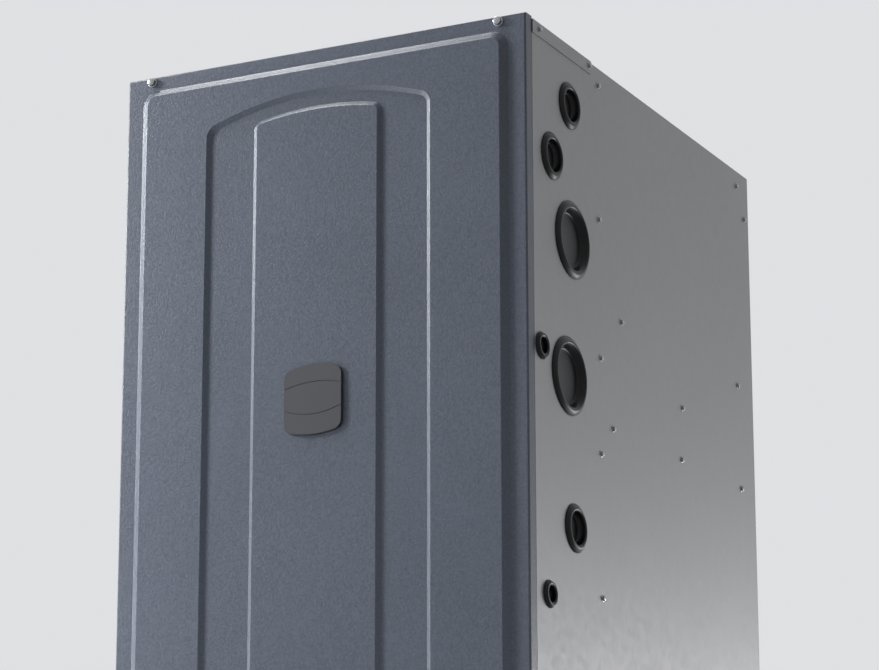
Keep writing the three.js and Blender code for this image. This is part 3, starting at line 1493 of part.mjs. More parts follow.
addPiece('rollout_switch', rolloutSwitch(), 'zinc');
addPiece('rollout_reset_button', resetButton(), 'redPlastic');
addPiece('pressure_switch', pressureSwitch(), 'blackPlastic');
addPiece('pressure_hose', pressureHose(), 'rubber');
addPiece('condensate_trap', condensateTrap(), 'whitePlastic');
addPiece('drain_hose', drainHose(), 'rubber');
addPiece('control_board', controlBoard(), 'circuit');
addPiece('transformer', transformer(), 'blackSteel');
addPiece('door_switch', doorSwitch(), 'blackPlastic');
addPiece('door_switch_plunger', switchPlunger(), 'whitePlastic');
addPiece('blower_housing', blowerHousing(), 'galvanised');
addPiece('blower_wheel', blowerWheel(), 'galvanised');
addPiece('blower_motor', blowerMotor(), 'blackSteel');
addPiece('motor_mount', motorMount(), 'galvanised');

export default furnace;
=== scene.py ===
# %% [markdown]
# # A forced air gas furnace, dressed for its portrait
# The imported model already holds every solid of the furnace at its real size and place. This
# script keeps it as a fixed frame and gives it its looks: a pressed and powder-coated door,
# satin galvanised sides, moulded plugs, and the parts behind the door. Every new piece lies
# in the same frame and rides on one of the model's bodies, so it follows the joints.

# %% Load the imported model
import json
import math

import bmesh
import bpy
from mathutils import Matrix, Quaternion, Vector


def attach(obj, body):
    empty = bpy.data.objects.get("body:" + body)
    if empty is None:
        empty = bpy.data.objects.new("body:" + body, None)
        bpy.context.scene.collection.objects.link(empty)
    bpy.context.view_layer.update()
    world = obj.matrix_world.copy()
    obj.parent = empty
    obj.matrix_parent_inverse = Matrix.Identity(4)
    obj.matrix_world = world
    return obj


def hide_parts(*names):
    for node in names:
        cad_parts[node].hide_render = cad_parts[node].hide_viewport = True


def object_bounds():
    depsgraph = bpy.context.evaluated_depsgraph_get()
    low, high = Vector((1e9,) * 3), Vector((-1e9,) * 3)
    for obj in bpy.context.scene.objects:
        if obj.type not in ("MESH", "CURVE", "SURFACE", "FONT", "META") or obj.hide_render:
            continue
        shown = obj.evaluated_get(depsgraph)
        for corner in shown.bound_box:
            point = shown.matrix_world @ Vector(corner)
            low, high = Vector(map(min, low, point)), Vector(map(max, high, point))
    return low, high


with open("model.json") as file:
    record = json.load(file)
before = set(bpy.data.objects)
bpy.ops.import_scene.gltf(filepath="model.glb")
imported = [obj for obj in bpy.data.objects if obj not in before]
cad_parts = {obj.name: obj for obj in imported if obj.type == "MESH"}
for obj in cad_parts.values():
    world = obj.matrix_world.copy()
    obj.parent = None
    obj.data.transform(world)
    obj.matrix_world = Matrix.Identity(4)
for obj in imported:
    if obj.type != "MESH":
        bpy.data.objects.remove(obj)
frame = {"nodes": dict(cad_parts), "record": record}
cad_low, cad_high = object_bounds()
print("CAD nodes:", len(frame["nodes"]), "box:", tuple(cad_low), tuple(cad_high))

# %% [markdown]
# ## The camera
# The photograph was taken from low down in front of the right corner, with a long lens, so
# the upright edges stay nearly parallel and the top edges fall away to both sides. The
# camera's place and turn were worked out from those edges. It stands lower than the floor
# that the furnace rests on, as if that floor were a stage.

# %% Place the camera
SENSOR = 36.0
LENS = 140.4
CAMERA_PLACE = Vector((1.83788, -3.69167, -0.54351))
CAMERA_TURN, CAMERA_TILT, CAMERA_ROLL = 26.635, 15.419, -0.085

lens = bpy.data.cameras.new("camera")
lens.sensor_width, lens.lens = SENSOR, LENS
lens.clip_start, lens.clip_end = 0.05, 60.0
camera = bpy.data.objects.new("camera", lens)
bpy.context.scene.collection.objects.link(camera)
camera.matrix_world = (
    Matrix.Translation(CAMERA_PLACE)
    @ Matrix.Rotation(math.radians(CAMERA_TURN), 4, "Z")
    @ Matrix.Rotation(math.radians(90.0 + CAMERA_TILT), 4, "X")
    @ Matrix.Rotation(math.radians(CAMERA_ROLL), 4, "Z")
)
bpy.context.scene.camera = camera
print("camera", LENS, "mm, looking up", CAMERA_TILT, "degrees")

# %% [markdown]
# ## Sums on sockets
# A finish is a small sum: some noise, times a strength, added to a colour or a roughness.
# Blender does such sums with nodes. The `Signal` class wraps one socket and turns ordinary
# Python sums into Math nodes, and `Recipe.node` makes any other node from its type, its
# settings and the values or links of its sockets.

# %% Signal and Recipe
class Signal:
    """The output socket of a node, which can be used in sums."""

    def __init__(self, recipe, socket):
        self.recipe, self.socket = recipe, socket

    def sum(self, operation, first, second):
        return self.recipe.node("ShaderNodeMath", {"operation": operation}, {0: first, 1: second})

    def __add__(self, other):
        return self.sum("ADD", self, other)

    __radd__ = __add__

    def __sub__(self, other):
        return self.sum("SUBTRACT", self, other)

    def __rsub__(self, other):
        return self.sum("SUBTRACT", other, self)

    def __mul__(self, other):
        return self.sum("MULTIPLY", self, other)

    __rmul__ = __mul__


class Recipe:
    """A node tree, with one way to make a node in it."""

    def __init__(self, tree):
        self.tree = tree
        tree.nodes.clear()

    def node(self, kind, settings=None, sockets=None, output=0):
        made = self.tree.nodes.new(kind)
        for name, value in (settings or {}).items():
            if name == "stops":
                for stop, (place, level) in zip(made.color_ramp.elements, value):
                    stop.position, stop.color = place, (level, level, level, 1.0)
            else:
                setattr(made, name, value)
        for name, value in (sockets or {}).items():
            if isinstance(value, Signal):
                self.tree.links.new(value.socket, made.inputs[name])
            else:
                made.inputs[name].default_value = value
        return Signal(self, made.outputs[output]) if made.outputs else None

    def blend(self, share, first, second):
        """A colour between two others."""
        return self.node("ShaderNodeMix", {"data_type": "RGBA"},
                         {0: share, 6: (*first, 1.0), 7: (*second, 1.0)}, output=2)

    def grain(self, size, detail=2.0, stretch=(1.0, 1.0, 1.0)):
        """Noise on the piece's own coordinates, with lumps of that size in millimetres."""
        place = self.node("ShaderNodeTexCoord", output="Object")
        placed = self.node("ShaderNodeMapping", {}, {"Vector": place, "Scale": stretch})
        return self.node("ShaderNodeTexNoise", {},
                         {"Vector": placed, "Scale": 1000.0 / size, "Detail": detail})

    def flakes(self, size, output="Color"):
        """Cells of that size in millimetres, each with a value of its own."""
        place = self.node("ShaderNodeTexCoord", output="Object")
        cells = self.node("ShaderNodeTexVoronoi", {},
                          {"Vector": place, "Scale": 1000.0 / size}, output=output)
        return cells

    def bump(self, height, depth, strength=1.0):
        """The surface raised by height, at most that many millimetres."""
        return self.node("ShaderNodeBump", {},
                         {"Height": height, "Strength": strength, "Distance": depth / 1000.0})


print("sums are ready")

# %% [markdown]
# ## Floor, backdrop and lamps
# One lamp stands far on the upper left and grazes the door, so the door is darker to the
# right, and slopes that turn right or down go nearly black. A small one near the floor on the
# left keeps the door's lower end as light as its top. One hangs overhead and one stands level
# with the door on the left, where the pressed slopes mirror them into the lens. One lies low
# on the right, behind the door's plane: it lights the galvanised side, more towards the
# floor. The world adds a little light from everywhere, and is pale where the camera or a
# glossy surface looks at it. The floor is dull and gets most of its pale colour for the
# camera alone, so the lamps leave no bright pools on it and the furnace still casts its
# shadow there. The photograph sees it from below, so its underside is clear.

# %% Light the stage
PALE = (0.74, 0.75, 0.77)
DIM = 0.06
FLOOR_RADIUS = 9.0

world = bpy.data.worlds.new("studio")
bpy.context.scene.world = world
world.use_nodes = True
sky = Recipe(world.node_tree)
seen = sky.node("ShaderNodeLightPath", output="Is Camera Ray")
mirrored = sky.node("ShaderNodeLightPath", output="Is Glossy Ray")
through = sky.node("ShaderNodeLightPath", output="Is Transmission Ray")
backdrop = sky.node("ShaderNodeBackground", {}, {
    "Color": sky.blend(seen + mirrored + through, (DIM, DIM, DIM), PALE), "Strength": 1.0})
sky.node("ShaderNodeOutputWorld", {}, {"Surface": backdrop})

ground = bmesh.new()
bmesh.ops.create_circle(ground, cap_ends=True, segments=96, radius=FLOOR_RADIUS)
floor_mesh = bpy.data.meshes.new("floor")
ground.to_mesh(floor_mesh)
ground.free()
floor = bpy.data.objects.new("floor", floor_mesh)
bpy.context.scene.collection.objects.link(floor)
floor.visible_shadow = False

floor_paint = bpy.data.materials.new("floor")
floor_paint.use_nodes = True
recipe = Recipe(floor_paint.node_tree)
looked_at = (recipe.node("ShaderNodeLightPath", output="Is Camera Ray")
             + recipe.node("ShaderNodeLightPath", output="Is Glossy Ray")
             + recipe.node("ShaderNodeLightPath", output="Is Transmission Ray"))
glow = recipe.blend(looked_at, (0.0, 0.0, 0.0), (0.50, 0.51, 0.53))
matt = recipe.node("ShaderNodeBsdfPrincipled", {}, {
    "Base Color": recipe.blend(looked_at * 0.96 + recipe.grain(400.0) * 0.04,
                               (0.72, 0.73, 0.75), (0.17, 0.175, 0.18)),
    "Roughness": 0.8, "Specular IOR Level": 0.1,
    "Emission Color": glow, "Emission Strength": 1.0})
clear = recipe.node("ShaderNodeBsdfTransparent")
underside = recipe.node("ShaderNodeNewGeometry", output="Backfacing")
one_sided = recipe.node("ShaderNodeMixShader", {}, {0: underside, 1: matt, 2: clear})
recipe.node("ShaderNodeOutputMaterial", {}, {"Surface": one_sided})
floor_mesh.materials.append(floor_paint)

# Each lamp: name, place, point that it faces, width, height, watts
LAMPS = [
    ("left", (-2.20, -1.25, 1.60), (0.0, -0.34, 0.45), 0.5, 0.5, 64.0),
    ("left_low", (-1.15, -0.80, 0.15), (-0.10, -0.34, 0.15), 0.3, 0.5, 7.0),
    ("overhead", (-0.86, -0.74, 2.55), (0.0, -0.34, 0.60), 0.7, 0.3, 30.0),
    ("low_right", (1.25, 1.75, 0.0), (0.27, 0.0, 0.35), 0.9, 0.9, 18.5),
    ("left_rim", (-2.10, -0.50, 1.05), (0.0, -0.34, 0.50), 0.3, 1.2, 10.0),
]
for name, place, target, width, height, watts in LAMPS:
    light = bpy.data.lights.new(name, "AREA")
    light.shape, light.size, light.size_y, light.energy = "RECTANGLE", width, height, watts
    lamp = bpy.data.objects.new(name, light)
    bpy.context.scene.collection.objects.link(lamp)
    lamp.location = place
    lamp.rotation_euler = (Vector(place) - Vector(target)).to_track_quat("Z", "Y").to_euler()
bpy.context.scene.view_settings.view_transform = "Standard"
print("lamps:", [lamp[0] for lamp in LAMPS])

# %% [markdown]
# ## Painted sheet
# The door is steel sheet with a textured powder coat: a slate blue-grey with a fine, even
# grain that breaks up its shine. The grain is a bump of about one millimetre with a finer one
# on it, and the colour varies by a shade with it, as pigment does on the tops of the grain.

# %% A maker for finishes
FINISHES = {}


def finish(slot, make, **fixed):
    """Makes the material of one slot. `make` gives the sockets that vary over the surface."""
    material = bpy.data.materials.new(slot)
    material.use_nodes = True
    recipe = Recipe(material.node_tree)
    surface = recipe.node("ShaderNodeBsdfPrincipled", {}, {**fixed, **make(recipe)})
    recipe.node("ShaderNodeOutputMaterial", {}, {"Surface": surface})
    FINISHES[slot] = material
    print("finish:", slot)


def powder_coat(recipe):
    coarse, fine = recipe.grain(2.2, 1.0), recipe.grain(0.9, 1.0)
    drift = recipe.grain(160.0)
    shade = (coarse - 0.5) * 1.5 + 0.28 + drift * 0.44
    return {
        "Base Color": recipe.blend(shade, (0.066, 0.079, 0.107), (0.110, 0.128, 0.166)),
        "Roughness": 0.30 + 0.10 * coarse,
        "Normal": recipe.bump(coarse * 0.7 + fine * 0.3, 0.40),
    }


finish("slate_paint", powder_coat, **{"Specular IOR Level": 0.42})

# %% [markdown]
# ## Bare metals
# Galvanised sheet is nearly plain from a step away: a satin grey in which the zinc's flakes
# just show, with faint marks along the way it was rolled. The other metals differ in colour,
# in how rough they are and in the size of their grain, so one maker serves them all.

# %% Galvanised sheet and other metals
def galvanised(recipe):
    flake = recipe.flakes(9.0)
    rolled = recipe.grain(3.0, 3.0, (1.0, 1.0, 0.06))
    drift = recipe.grain(220.0)
    shade = flake * 0.22 + rolled * 0.28 + drift * 0.5
    return {
        "Base Color": recipe.blend(shade, (0.240, 0.242, 0.245), (0.294, 0.296, 0.298)),
        "Roughness": 0.44 + 0.10 * flake,
        "Normal": recipe.bump(rolled, 0.02),
    }


def metal(dark, light, rough, grain, depth, stretch=(1.0, 1.0, 1.0)):
    def make(recipe):
        lumps = recipe.grain(grain, 3.0, stretch)
        drift = recipe.grain(70.0)
        return {
            "Base Color": recipe.blend(lumps * 0.4 + drift * 0.6, dark, light),
            "Roughness": (rough - 0.06) + 0.12 * lumps,
            "Normal": recipe.bump(lumps, depth),
        }
    return make


finish("galvanised", galvanised, Metallic=0.6)
finish("foil", metal((0.50, 0.51, 0.52), (0.66, 0.67, 0.68), 0.34, 5.0, 0.5), Metallic=0.9)
finish("zinc", metal((0.26, 0.27, 0.28), (0.38, 0.39, 0.40), 0.30, 1.2, 0.02), Metallic=0.9)
finish("aluminised", metal((0.40, 0.40, 0.39), (0.56, 0.56, 0.54), 0.42, 3.0, 0.05), Metallic=0.85)
finish("aluminium", metal((0.55, 0.56, 0.56), (0.68, 0.69, 0.69), 0.36, 1.5, 0.02), Metallic=0.9)
finish("cast_metal", metal((0.34, 0.35, 0.36), (0.46, 0.47, 0.48), 0.50, 0.8, 0.12), Metallic=0.7)
finish("black_steel", metal((0.020, 0.021, 0.023), (0.045, 0.047, 0.050), 0.44, 1.4, 0.08))

# %% [markdown]
# ## Plastics, rubber, glass and ceramic
# Moulded parts take the texture of their mould: fine pits on the badge, nearly none on the
# plugs. Rubber is dull with a soft mottle. Ceramic is chalky. The sight glass lets light
# through and has a faint green tint.

# %% Moulded and fired finishes
def moulded(dark, light, rough, grain, depth):
    def make(recipe):
        pits = recipe.grain(grain, 2.0)
        drift = recipe.grain(45.0)
        return {
            "Base Color": recipe.blend(pits * 0.5 + drift * 0.5, dark, light),
            "Roughness": (rough - 0.05) + 0.10 * pits,
            "Normal": recipe.bump(pits, depth),
        }
    return make


finish("badge_plastic", moulded((0.022, 0.024, 0.031), (0.032, 0.034, 0.043), 0.52, 1.0, 0.10))
finish("plug_plastic", moulded((0.005, 0.005, 0.006), (0.010, 0.010, 0.011), 0.30, 0.9, 0.02),
       **{"Specular IOR Level": 0.18})
finish("black_plastic", moulded((0.018, 0.018, 0.019), (0.032, 0.032, 0.034), 0.46, 1.1, 0.05))
finish("white_plastic", moulded((0.66, 0.66, 0.63), (0.76, 0.76, 0.73), 0.38, 1.5, 0.02))
finish("red_plastic", moulded((0.36, 0.020, 0.014), (0.46, 0.030, 0.020), 0.34, 1.0, 0.02))
finish("rubber", moulded((0.016, 0.016, 0.018), (0.034, 0.034, 0.037), 0.72, 0.7, 0.08))
finish("ceramic", moulded((0.62, 0.58, 0.50), (0.74, 0.70, 0.62), 0.70, 0.6, 0.04))
finish("circuit", moulded((0.010, 0.085, 0.040), (0.022, 0.140, 0.070), 0.40, 0.9, 0.02))
finish("sight_glass", moulded((0.78, 0.88, 0.84), (0.84, 0.92, 0.88), 0.10, 8.0, 0.02),
       **{"Transmission Weight": 0.85, "IOR": 1.47})

# %% [markdown]
# ## Millimetres in the cabinet's frame
# Drawings of sheet metal work are in millimetres. Here X runs to the right, Z up, and Y = 0
# is the plane of the door's flat border, growing towards the back. A shape is built in those
# numbers, then brought into the model's frame in metres with one transform at the end, so
# that its object stays at the origin, unturned and unscaled.

# %% From a shape to a piece
DOOR_PLANE = cad_low.y + 0.0103  # the badge's face stands 10.3 mm in front of the door's border
TO_FRAME = Matrix.Translation((0.0, DOOR_PLANE, 0.0)) @ Matrix.Scale(0.001, 4)
WIDTH, DEPTH, HEIGHT = 533.4, 685.8, 863.6
CREASE = math.radians(34.0)


def add_piece(name, shape, slot, body, stands_for=(), in_metres=False):
    """Turns a finished bmesh into an object that rides on a body."""
    bmesh.ops.remove_doubles(shape, verts=shape.verts, dist=1e-6 if in_metres else 1e-3)
    for face in shape.faces:
        face.smooth = True
    for edge in shape.edges:
        edge.smooth = edge.calc_face_angle(0.0) < CREASE
    if not in_metres:
        bmesh.ops.transform(shape, matrix=TO_FRAME, verts=shape.verts)
    mesh = bpy.data.meshes.new(name)
    shape.to_mesh(mesh)
    shape.free()
    mesh.materials.append(FINISHES[slot])
    made = bpy.data.objects.new(name, mesh)
    bpy.context.scene.collection.objects.link(made)
    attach(made, body)
    if stands_for:
        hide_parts(*stands_for)
    print(f"{name}: {len(mesh.polygons)} faces, on {body}")
    return made


print("door plane at y =", round(DOOR_PLANE, 5))

# %% [markdown]
# ## The pressed door
# The real door is one sheet, pressed between two tools: a raised panel, a sunk channel in it
# that ends in a shallow arch, and a raised arch inside the channel. It could be sculpted or
# displaced, but a press leaves exact outlines with even slopes, so the door is built as
# outlines. Each outline is a face whose corners are rounded by a bevel of its vertices. It
# is then inset in small steps that also lift it, which gives a slope with soft edges. The
# flat metal between two outlines is filled with triangles.

# %% Outlines and slopes
def turn_to_front(shape, face):
    face.normal_update()
    if face.normal.y > 0:
        bmesh.ops.reverse_faces(shape, faces=[face])


def outline_face(shape, points, depth, rounds):
    """A face through (x, z) points. `rounds` gives corner radii by the point's number."""
    corners = [shape.verts.new((x, depth, z)) for x, z in points]
    face = shape.faces.new(corners)
    known = set(shape.faces) - {face}
    for radius in sorted(set(rounds.values())):
        picked = [corners[i] for i, r in rounds.items() if r == radius]
        bmesh.ops.bevel(shape, geom=picked, offset=radius, offset_type="OFFSET", segments=10,
                        profile=0.5, affect="VERTICES", material=-1, clamp_overlap=False)
    face = next(f for f in shape.faces if f not in known)
    turn_to_front(shape, face)
    return face


def arch_points(half, crown, radius, corner, low, shift, steps=36):
    """The (x, z) points of an upright outline with a shallow arch on top."""
    arc = bmesh.new()
    turn = math.asin(half / radius)
    start_turn = turn - (corner + 2.0) / radius
    centre = Vector((shift, 0.0, crown - radius))
    start = arc.verts.new(centre + Vector((math.sin(start_turn), 0.0, math.cos(start_turn))) * radius)
    bmesh.ops.spin(arc, geom=[start], cent=centre, axis=(0.0, 1.0, 0.0),
                   angle=-2.0 * start_turn, steps=steps)
    top = sorted(((v.co.x, v.co.z) for v in arc.verts), reverse=True)
    arc.free()
    shoulder = crown - radius * (1.0 - math.cos(turn))
    right, left = shift + half, shift - half
    return [(left, low), (right, low), (right, shoulder), *top, (left, shoulder)]


SOFT = 0.12  # the share of a slope's run that each soft end takes


def slope_height(share):
    """How far up a slope is, with a straight middle and two soft ends."""
    if share > 0.5:
        return 1.0 - slope_height(1.0 - share)
    if share < SOFT:
        return share * share / (2.0 * SOFT * (1.0 - SOFT))
    return (share - SOFT / 2.0) / (1.0 - SOFT)


MARGIN = 0.3  # flat metal kept beside a slope, so the slope doesn't tilt the flat's shading


def inset(shape, face, run, lift):
    bmesh.ops.inset_region(shape, faces=[face], thickness=run, depth=lift,
                           use_even_offset=True, use_boundary=True)


def press(shape, face, run, rise):
    """Insets a face in steps that lift it. A negative rise sinks it."""
    shares = [0.0, SOFT / 2, SOFT, 1 - SOFT, 1 - SOFT / 2, 1.0]
    inset(shape, face, MARGIN, 0.0)
    for share, following in zip(shares, shares[1:]):
        inset(shape, face, run * (following - share),
              rise * (slope_height(following) - slope_height(share)))
    inset(shape, face, MARGIN, 0.0)
    return face


def pressed_form(shape, points, depth, rounds, run, rise):
    """An outline with its slope inside it. Returns the edges round the outside and the face."""
    before = set(shape.edges)
    face = press(shape, outline_face(shape, points, depth, rounds), run, rise)
    return [e for e in shape.edges if e.is_boundary and e not in before], face


def open_up(shape, face):
    """Takes the face away and returns the edges that were round it."""
    edges = list(face.edges)
    bmesh.ops.delete(shape, geom=[face], context="FACES_ONLY")
    return edges


def fill_between(shape, outer, inner):
    filled = bmesh.ops.triangle_fill(shape, use_beauty=True, use_dissolve=False,
                                     edges=outer + inner, normal=(0.0, -1.0, 0.0))
    return [f for f in filled["geom"] if isinstance(f, bmesh.types.BMFace)]


# %% [markdown]
# The tray comes first: a box without a back, with its front edges rolled. Its flat front is
# opened, and the panel, the channel and the inner arch follow from the outside in. Lips turn
# inwards along the back of the tray, and a Solidify modifier gives the sheet its thickness.
# Weighted normals keep the flat parts flat in the light, beside slopes that are smooth.

# %% The door
DOOR_DEPTH, DOOR_FOOT, SHEET = 17.0, 8.0, 1.0
PANEL_SIDE, PANEL_TOP, PANEL_RISE, PANEL_RUN = 21.6, 17.6, 6.5, 9.5
ARCH_SHIFT = -2.5
CHANNEL_DEPTH, CHANNEL_RUN = 4.0, 6.0
LIP = 18.0

door = bmesh.new()
middle = (HEIGHT + DOOR_FOOT) / 2
bmesh.ops.create_cube(door, size=1.0, matrix=(
    Matrix.Translation((0.0, DOOR_DEPTH / 2, middle))
    @ Matrix.Diagonal((WIDTH, DOOR_DEPTH, HEIGHT - DOOR_FOOT, 1.0))))
back = max(door.faces, key=lambda f: f.calc_center_median().y)
bmesh.ops.delete(door, geom=[back], context="FACES_ONLY")
front = min(door.faces, key=lambda f: f.calc_center_median().y)
bmesh.ops.bevel(door, geom=list(front.edges), offset=2.6, offset_type="OFFSET", segments=4,
                profile=0.5, affect="EDGES", material=-1)
front = min(door.faces, key=lambda f: f.calc_center_median().y)
border = open_up(door, front)

half = WIDTH / 2 - PANEL_SIDE
low, high = DOOR_FOOT + PANEL_TOP, HEIGHT - PANEL_TOP
foot_edges, panel = pressed_form(
    door, [(-half, low), (half, low), (half, high), (-half, high)], 0.0,
    {0: 21.0, 1: 21.0, 2: 21.0, 3: 21.0}, PANEL_RUN, PANEL_RISE)
fill_between(door, border, foot_edges)
panel_edges = open_up(door, panel)

brim_edges, channel = pressed_form(
    door, arch_points(149.9, 811.0, 419.0, 12.0, 59.1, ARCH_SHIFT), -PANEL_RISE,
    {0: 12.0, 1: 12.0, 2: 12.0, 40: 12.0}, CHANNEL_RUN, -CHANNEL_DEPTH)
fill_between(door, panel_edges, brim_edges)
channel_edges = open_up(door, channel)

heel_edges, inner_arch = pressed_form(
    door, arch_points(86.3, 791.6, 400.0, 10.0, 79.1, ARCH_SHIFT), CHANNEL_DEPTH - PANEL_RISE,
    {0: 10.0, 1: 10.0, 2: 10.0, 40: 10.0}, CHANNEL_RUN, CHANNEL_DEPTH)
fill_between(door, channel_edges, heel_edges)

rim = [e for e in door.edges if e.is_boundary]
lip = bmesh.ops.extrude_edge_only(door, edges=rim)
lip_verts = [v for v in lip["geom"] if isinstance(v, bmesh.types.BMVert)]
half_height = (HEIGHT - DOOR_FOOT) / 2
bmesh.ops.scale(door, verts=lip_verts,
                vec=((WIDTH / 2 - LIP) / (WIDTH / 2), 1.0, (half_height - LIP) / half_height),
                space=Matrix.Translation((0.0, 0.0, -middle)))
bmesh.ops.remove_doubles(door, verts=door.verts, dist=1e-3)
bmesh.ops.recalc_face_normals(door, faces=door.faces)
flat = max(door.faces, key=lambda f: f.calc_area())
if flat.normal.y > 0:
    bmesh.ops.reverse_faces(door, faces=door.faces)
pressed_door = add_piece("pressed_door", door, "slate_paint", "door", ["front_door"])
wall = pressed_door.modifiers.new("sheet", "SOLIDIFY")
wall.thickness, wall.offset = SHEET / 1000.0, -1.0
level = pressed_door.modifiers.new("flat areas", "WEIGHTED_NORMAL")
level.weight, level.keep_sharp = 100, True

# %% [markdown]
# ## The badge
# A moulded badge sits on the inner arch. Its sides are straight, its top and bottom edges bow
# out, and two curved seams part it into three bands. The outline is a face again; its seams
# are cuts across that face, and each band is then inset and lifted a little on its own,
# which leaves a fine groove at each seam and a small chamfer round the edge. The marks that
# such a badge carries are left off, so its middle band is bare.

# %% The badge
BADGE_HALF, BADGE_SIDE, BADGE_CROWN = 37.65, 36.0, 41.5
BADGE_MIDDLE = HEIGHT - 431.5
BADGE_BACK, BADGE_FACE = -6.8, -10.3
GROOVE = 0.45


def bow(left, crown, right, steps=24):
    """Heights along a shallow curve through three points across the badge."""
    points = []
    for step in range(steps + 1):
        share = step / steps
        rise = crown - (left + right) / 2
        height = left + (right - left) * share + rise * 4.0 * share * (1.0 - share)
        points.append((ARCH_SHIFT - BADGE_HALF + 2.0 * BADGE_HALF * share, BADGE_MIDDLE + height))
    return points


badge = bmesh.new()
upper = bow(BADGE_SIDE, BADGE_CROWN, BADGE_SIDE)
lower = bow(-BADGE_SIDE, -BADGE_CROWN, -BADGE_SIDE)
outline = lower + upper[::-1]
last = len(outline) - 1
count = len(lower)
plate = outline_face(badge, [outline[0], *outline[4:count - 4], outline[count - 1],
                             outline[count], *outline[count + 4:last - 3], outline[last]],
                     BADGE_BACK, {0: 9.0, count - 7: 9.0, count - 6: 9.0, 2 * count - 13: 9.0})
walls = bmesh.ops.extrude_face_region(badge, geom=[plate])
lifted = [v for v in walls["geom"] if isinstance(v, bmesh.types.BMVert)]
bmesh.ops.translate(badge, verts=lifted, vec=(0.0, BADGE_FACE + GROOVE - BADGE_BACK, 0.0))
plate = next(f for f in walls["geom"] if isinstance(f, bmesh.types.BMFace))
for seam in (bow(14.5, 20.8, 16.5), bow(-10.0, -17.5, -9.5)):
    face = max((f for f in badge.faces if f.calc_center_median().y < BADGE_BACK - 2.0
                and f.normal.y < -0.9), key=lambda f: f.calc_area())
    ends = []
    for x, z in (seam[0], seam[-1]):
        edge = min(face.edges, key=lambda e: abs((e.verts[0].co.x + e.verts[1].co.x) / 2 - x)
                   + (0.0 if min(v.co.z for v in e.verts) < z < max(v.co.z for v in e.verts) else 99.0))
        share = (z - edge.verts[0].co.z) / (edge.verts[1].co.z - edge.verts[0].co.z)
        ends.append(bmesh.utils.edge_split(edge, edge.verts[0], share)[1])
    depth = ends[0].co.y
    bmesh.utils.face_split(face, ends[0], ends[1],
                           coords=[(x, depth, z) for x, z in seam[1:-1]])
badge.normal_update()
bands = [f for f in badge.faces if f.normal.y < -0.9 and f.calc_area() > 200.0]
bmesh.ops.inset_individual(badge, faces=bands, thickness=GROOVE, depth=0.0, use_even_offset=True)
bmesh.ops.inset_individual(badge, faces=bands, thickness=0.25, depth=GROOVE, use_even_offset=True)
add_piece("bare_badge", badge, "badge_plastic", "door", ["door_badge"])
print("badge bands:", len(bands))

# %% [markdown]
# ## Turned shapes
# Screws, plugs, pipes and motors are round, so each is a profile: a chain of corners, given
# as (radius, distance along the axis), that a full spin carries round the axis. Hard corners
# on the profile get a small bevel after the spin, because no moulding or pressing has a
# perfectly sharp edge, and the bevel is what catches the light.

# %% Spin a profile
AXES = {"x": Vector((1, 0, 0)), "-x": Vector((-1, 0, 0)), "y": Vector((0, 1, 0)),
        "-y": Vector((0, -1, 0)), "z": Vector((0, 0, 1)), "-z": Vector((0, 0, -1))}


def aim(axis, place):
    """The matrix that stands a shape made along +Z on a place, along another axis."""
    turn = Vector((0, 0, 1)).rotation_difference(AXES[axis])
    return Matrix.Translation(place) @ turn.to_matrix().to_4x4()


def spun(shape, profile, axis, place, steps=48, ease=0.0):
    """Adds a turned solid to the shape, with its hard edges eased by that many millimetres."""
    part = bmesh.new()
    corners = [part.verts.new((radius, 0.0, along)) for radius, along in profile]
    chain = [part.edges.new(pair) for pair in zip(corners, corners[1:])]
    bmesh.ops.spin(part, geom=corners + chain, cent=(0, 0, 0), axis=(0, 0, 1),
                   angle=math.tau, steps=steps, use_merge=True)
    bmesh.ops.remove_doubles(part, verts=part.verts, dist=1e-3)
    bmesh.ops.recalc_face_normals(part, faces=part.faces)
    if ease > 0.0:
        hard = [e for e in part.edges if e.calc_face_angle(0.0) > math.radians(25.0)]
        bmesh.ops.bevel(part, geom=hard, offset=ease, offset_type="OFFSET", segments=2,
                        profile=0.5, affect="EDGES", material=-1, clamp_overlap=True)
    bmesh.ops.transform(part, matrix=aim(axis, place), verts=part.verts)
    gather(shape, part)


def gather(shape, part):
    """Moves everything in one bmesh into another."""
    carrier = bpy.data.meshes.new("carrier")
    part.to_mesh(carrier)
    part.free()
    shape.from_mesh(carrier)
    bpy.data.meshes.remove(carrier)


print("turned shapes are ready")

# %% [markdown]
# ## Screws
# Every screw here is a zinc-plated sheet metal screw with a hexagon head on a washer that is
# part of it. The head is a six-sided cone with almost equal ends, its top edges bevelled; the
# washer is spun. Two large ones hold the door. The small ones in the sides hold the blower
# deck, the vestibule panel and the top plate to the wrapper; they stand in the rows that the
# photograph shows, and the unseen left side has the same.

# %% Hexagon head screws
def hex_screw(shape, axis, place, across, head, washer, plate, turn=0.0):
    """A hexagon head of that size across its flats, on a washer of that radius."""
    spun(shape, [(0.0, 0.0), (washer, 0.0), (washer, plate * 0.6), (washer * 0.8, plate),
                 (0.0, plate)], axis, place, 28)
    part = bmesh.new()
    bmesh.ops.create_cone(part, cap_ends=True, cap_tris=False, segments=6,
                          radius1=across / math.sqrt(3.0), radius2=across / math.sqrt(3.0) * 0.97,
                          depth=head, matrix=Matrix.Translation((0, 0, plate + head / 2 - 0.05))
                          @ Matrix.Rotation(turn, 4, "Z"))
    bmesh.ops.bevel(part, geom=part.edges[:], offset=across * 0.06, offset_type="OFFSET",
                    segments=2, profile=0.5, affect="EDGES", material=-1)
    bmesh.ops.transform(part, matrix=aim(axis, place), verts=part.verts)
    gather(shape, part)


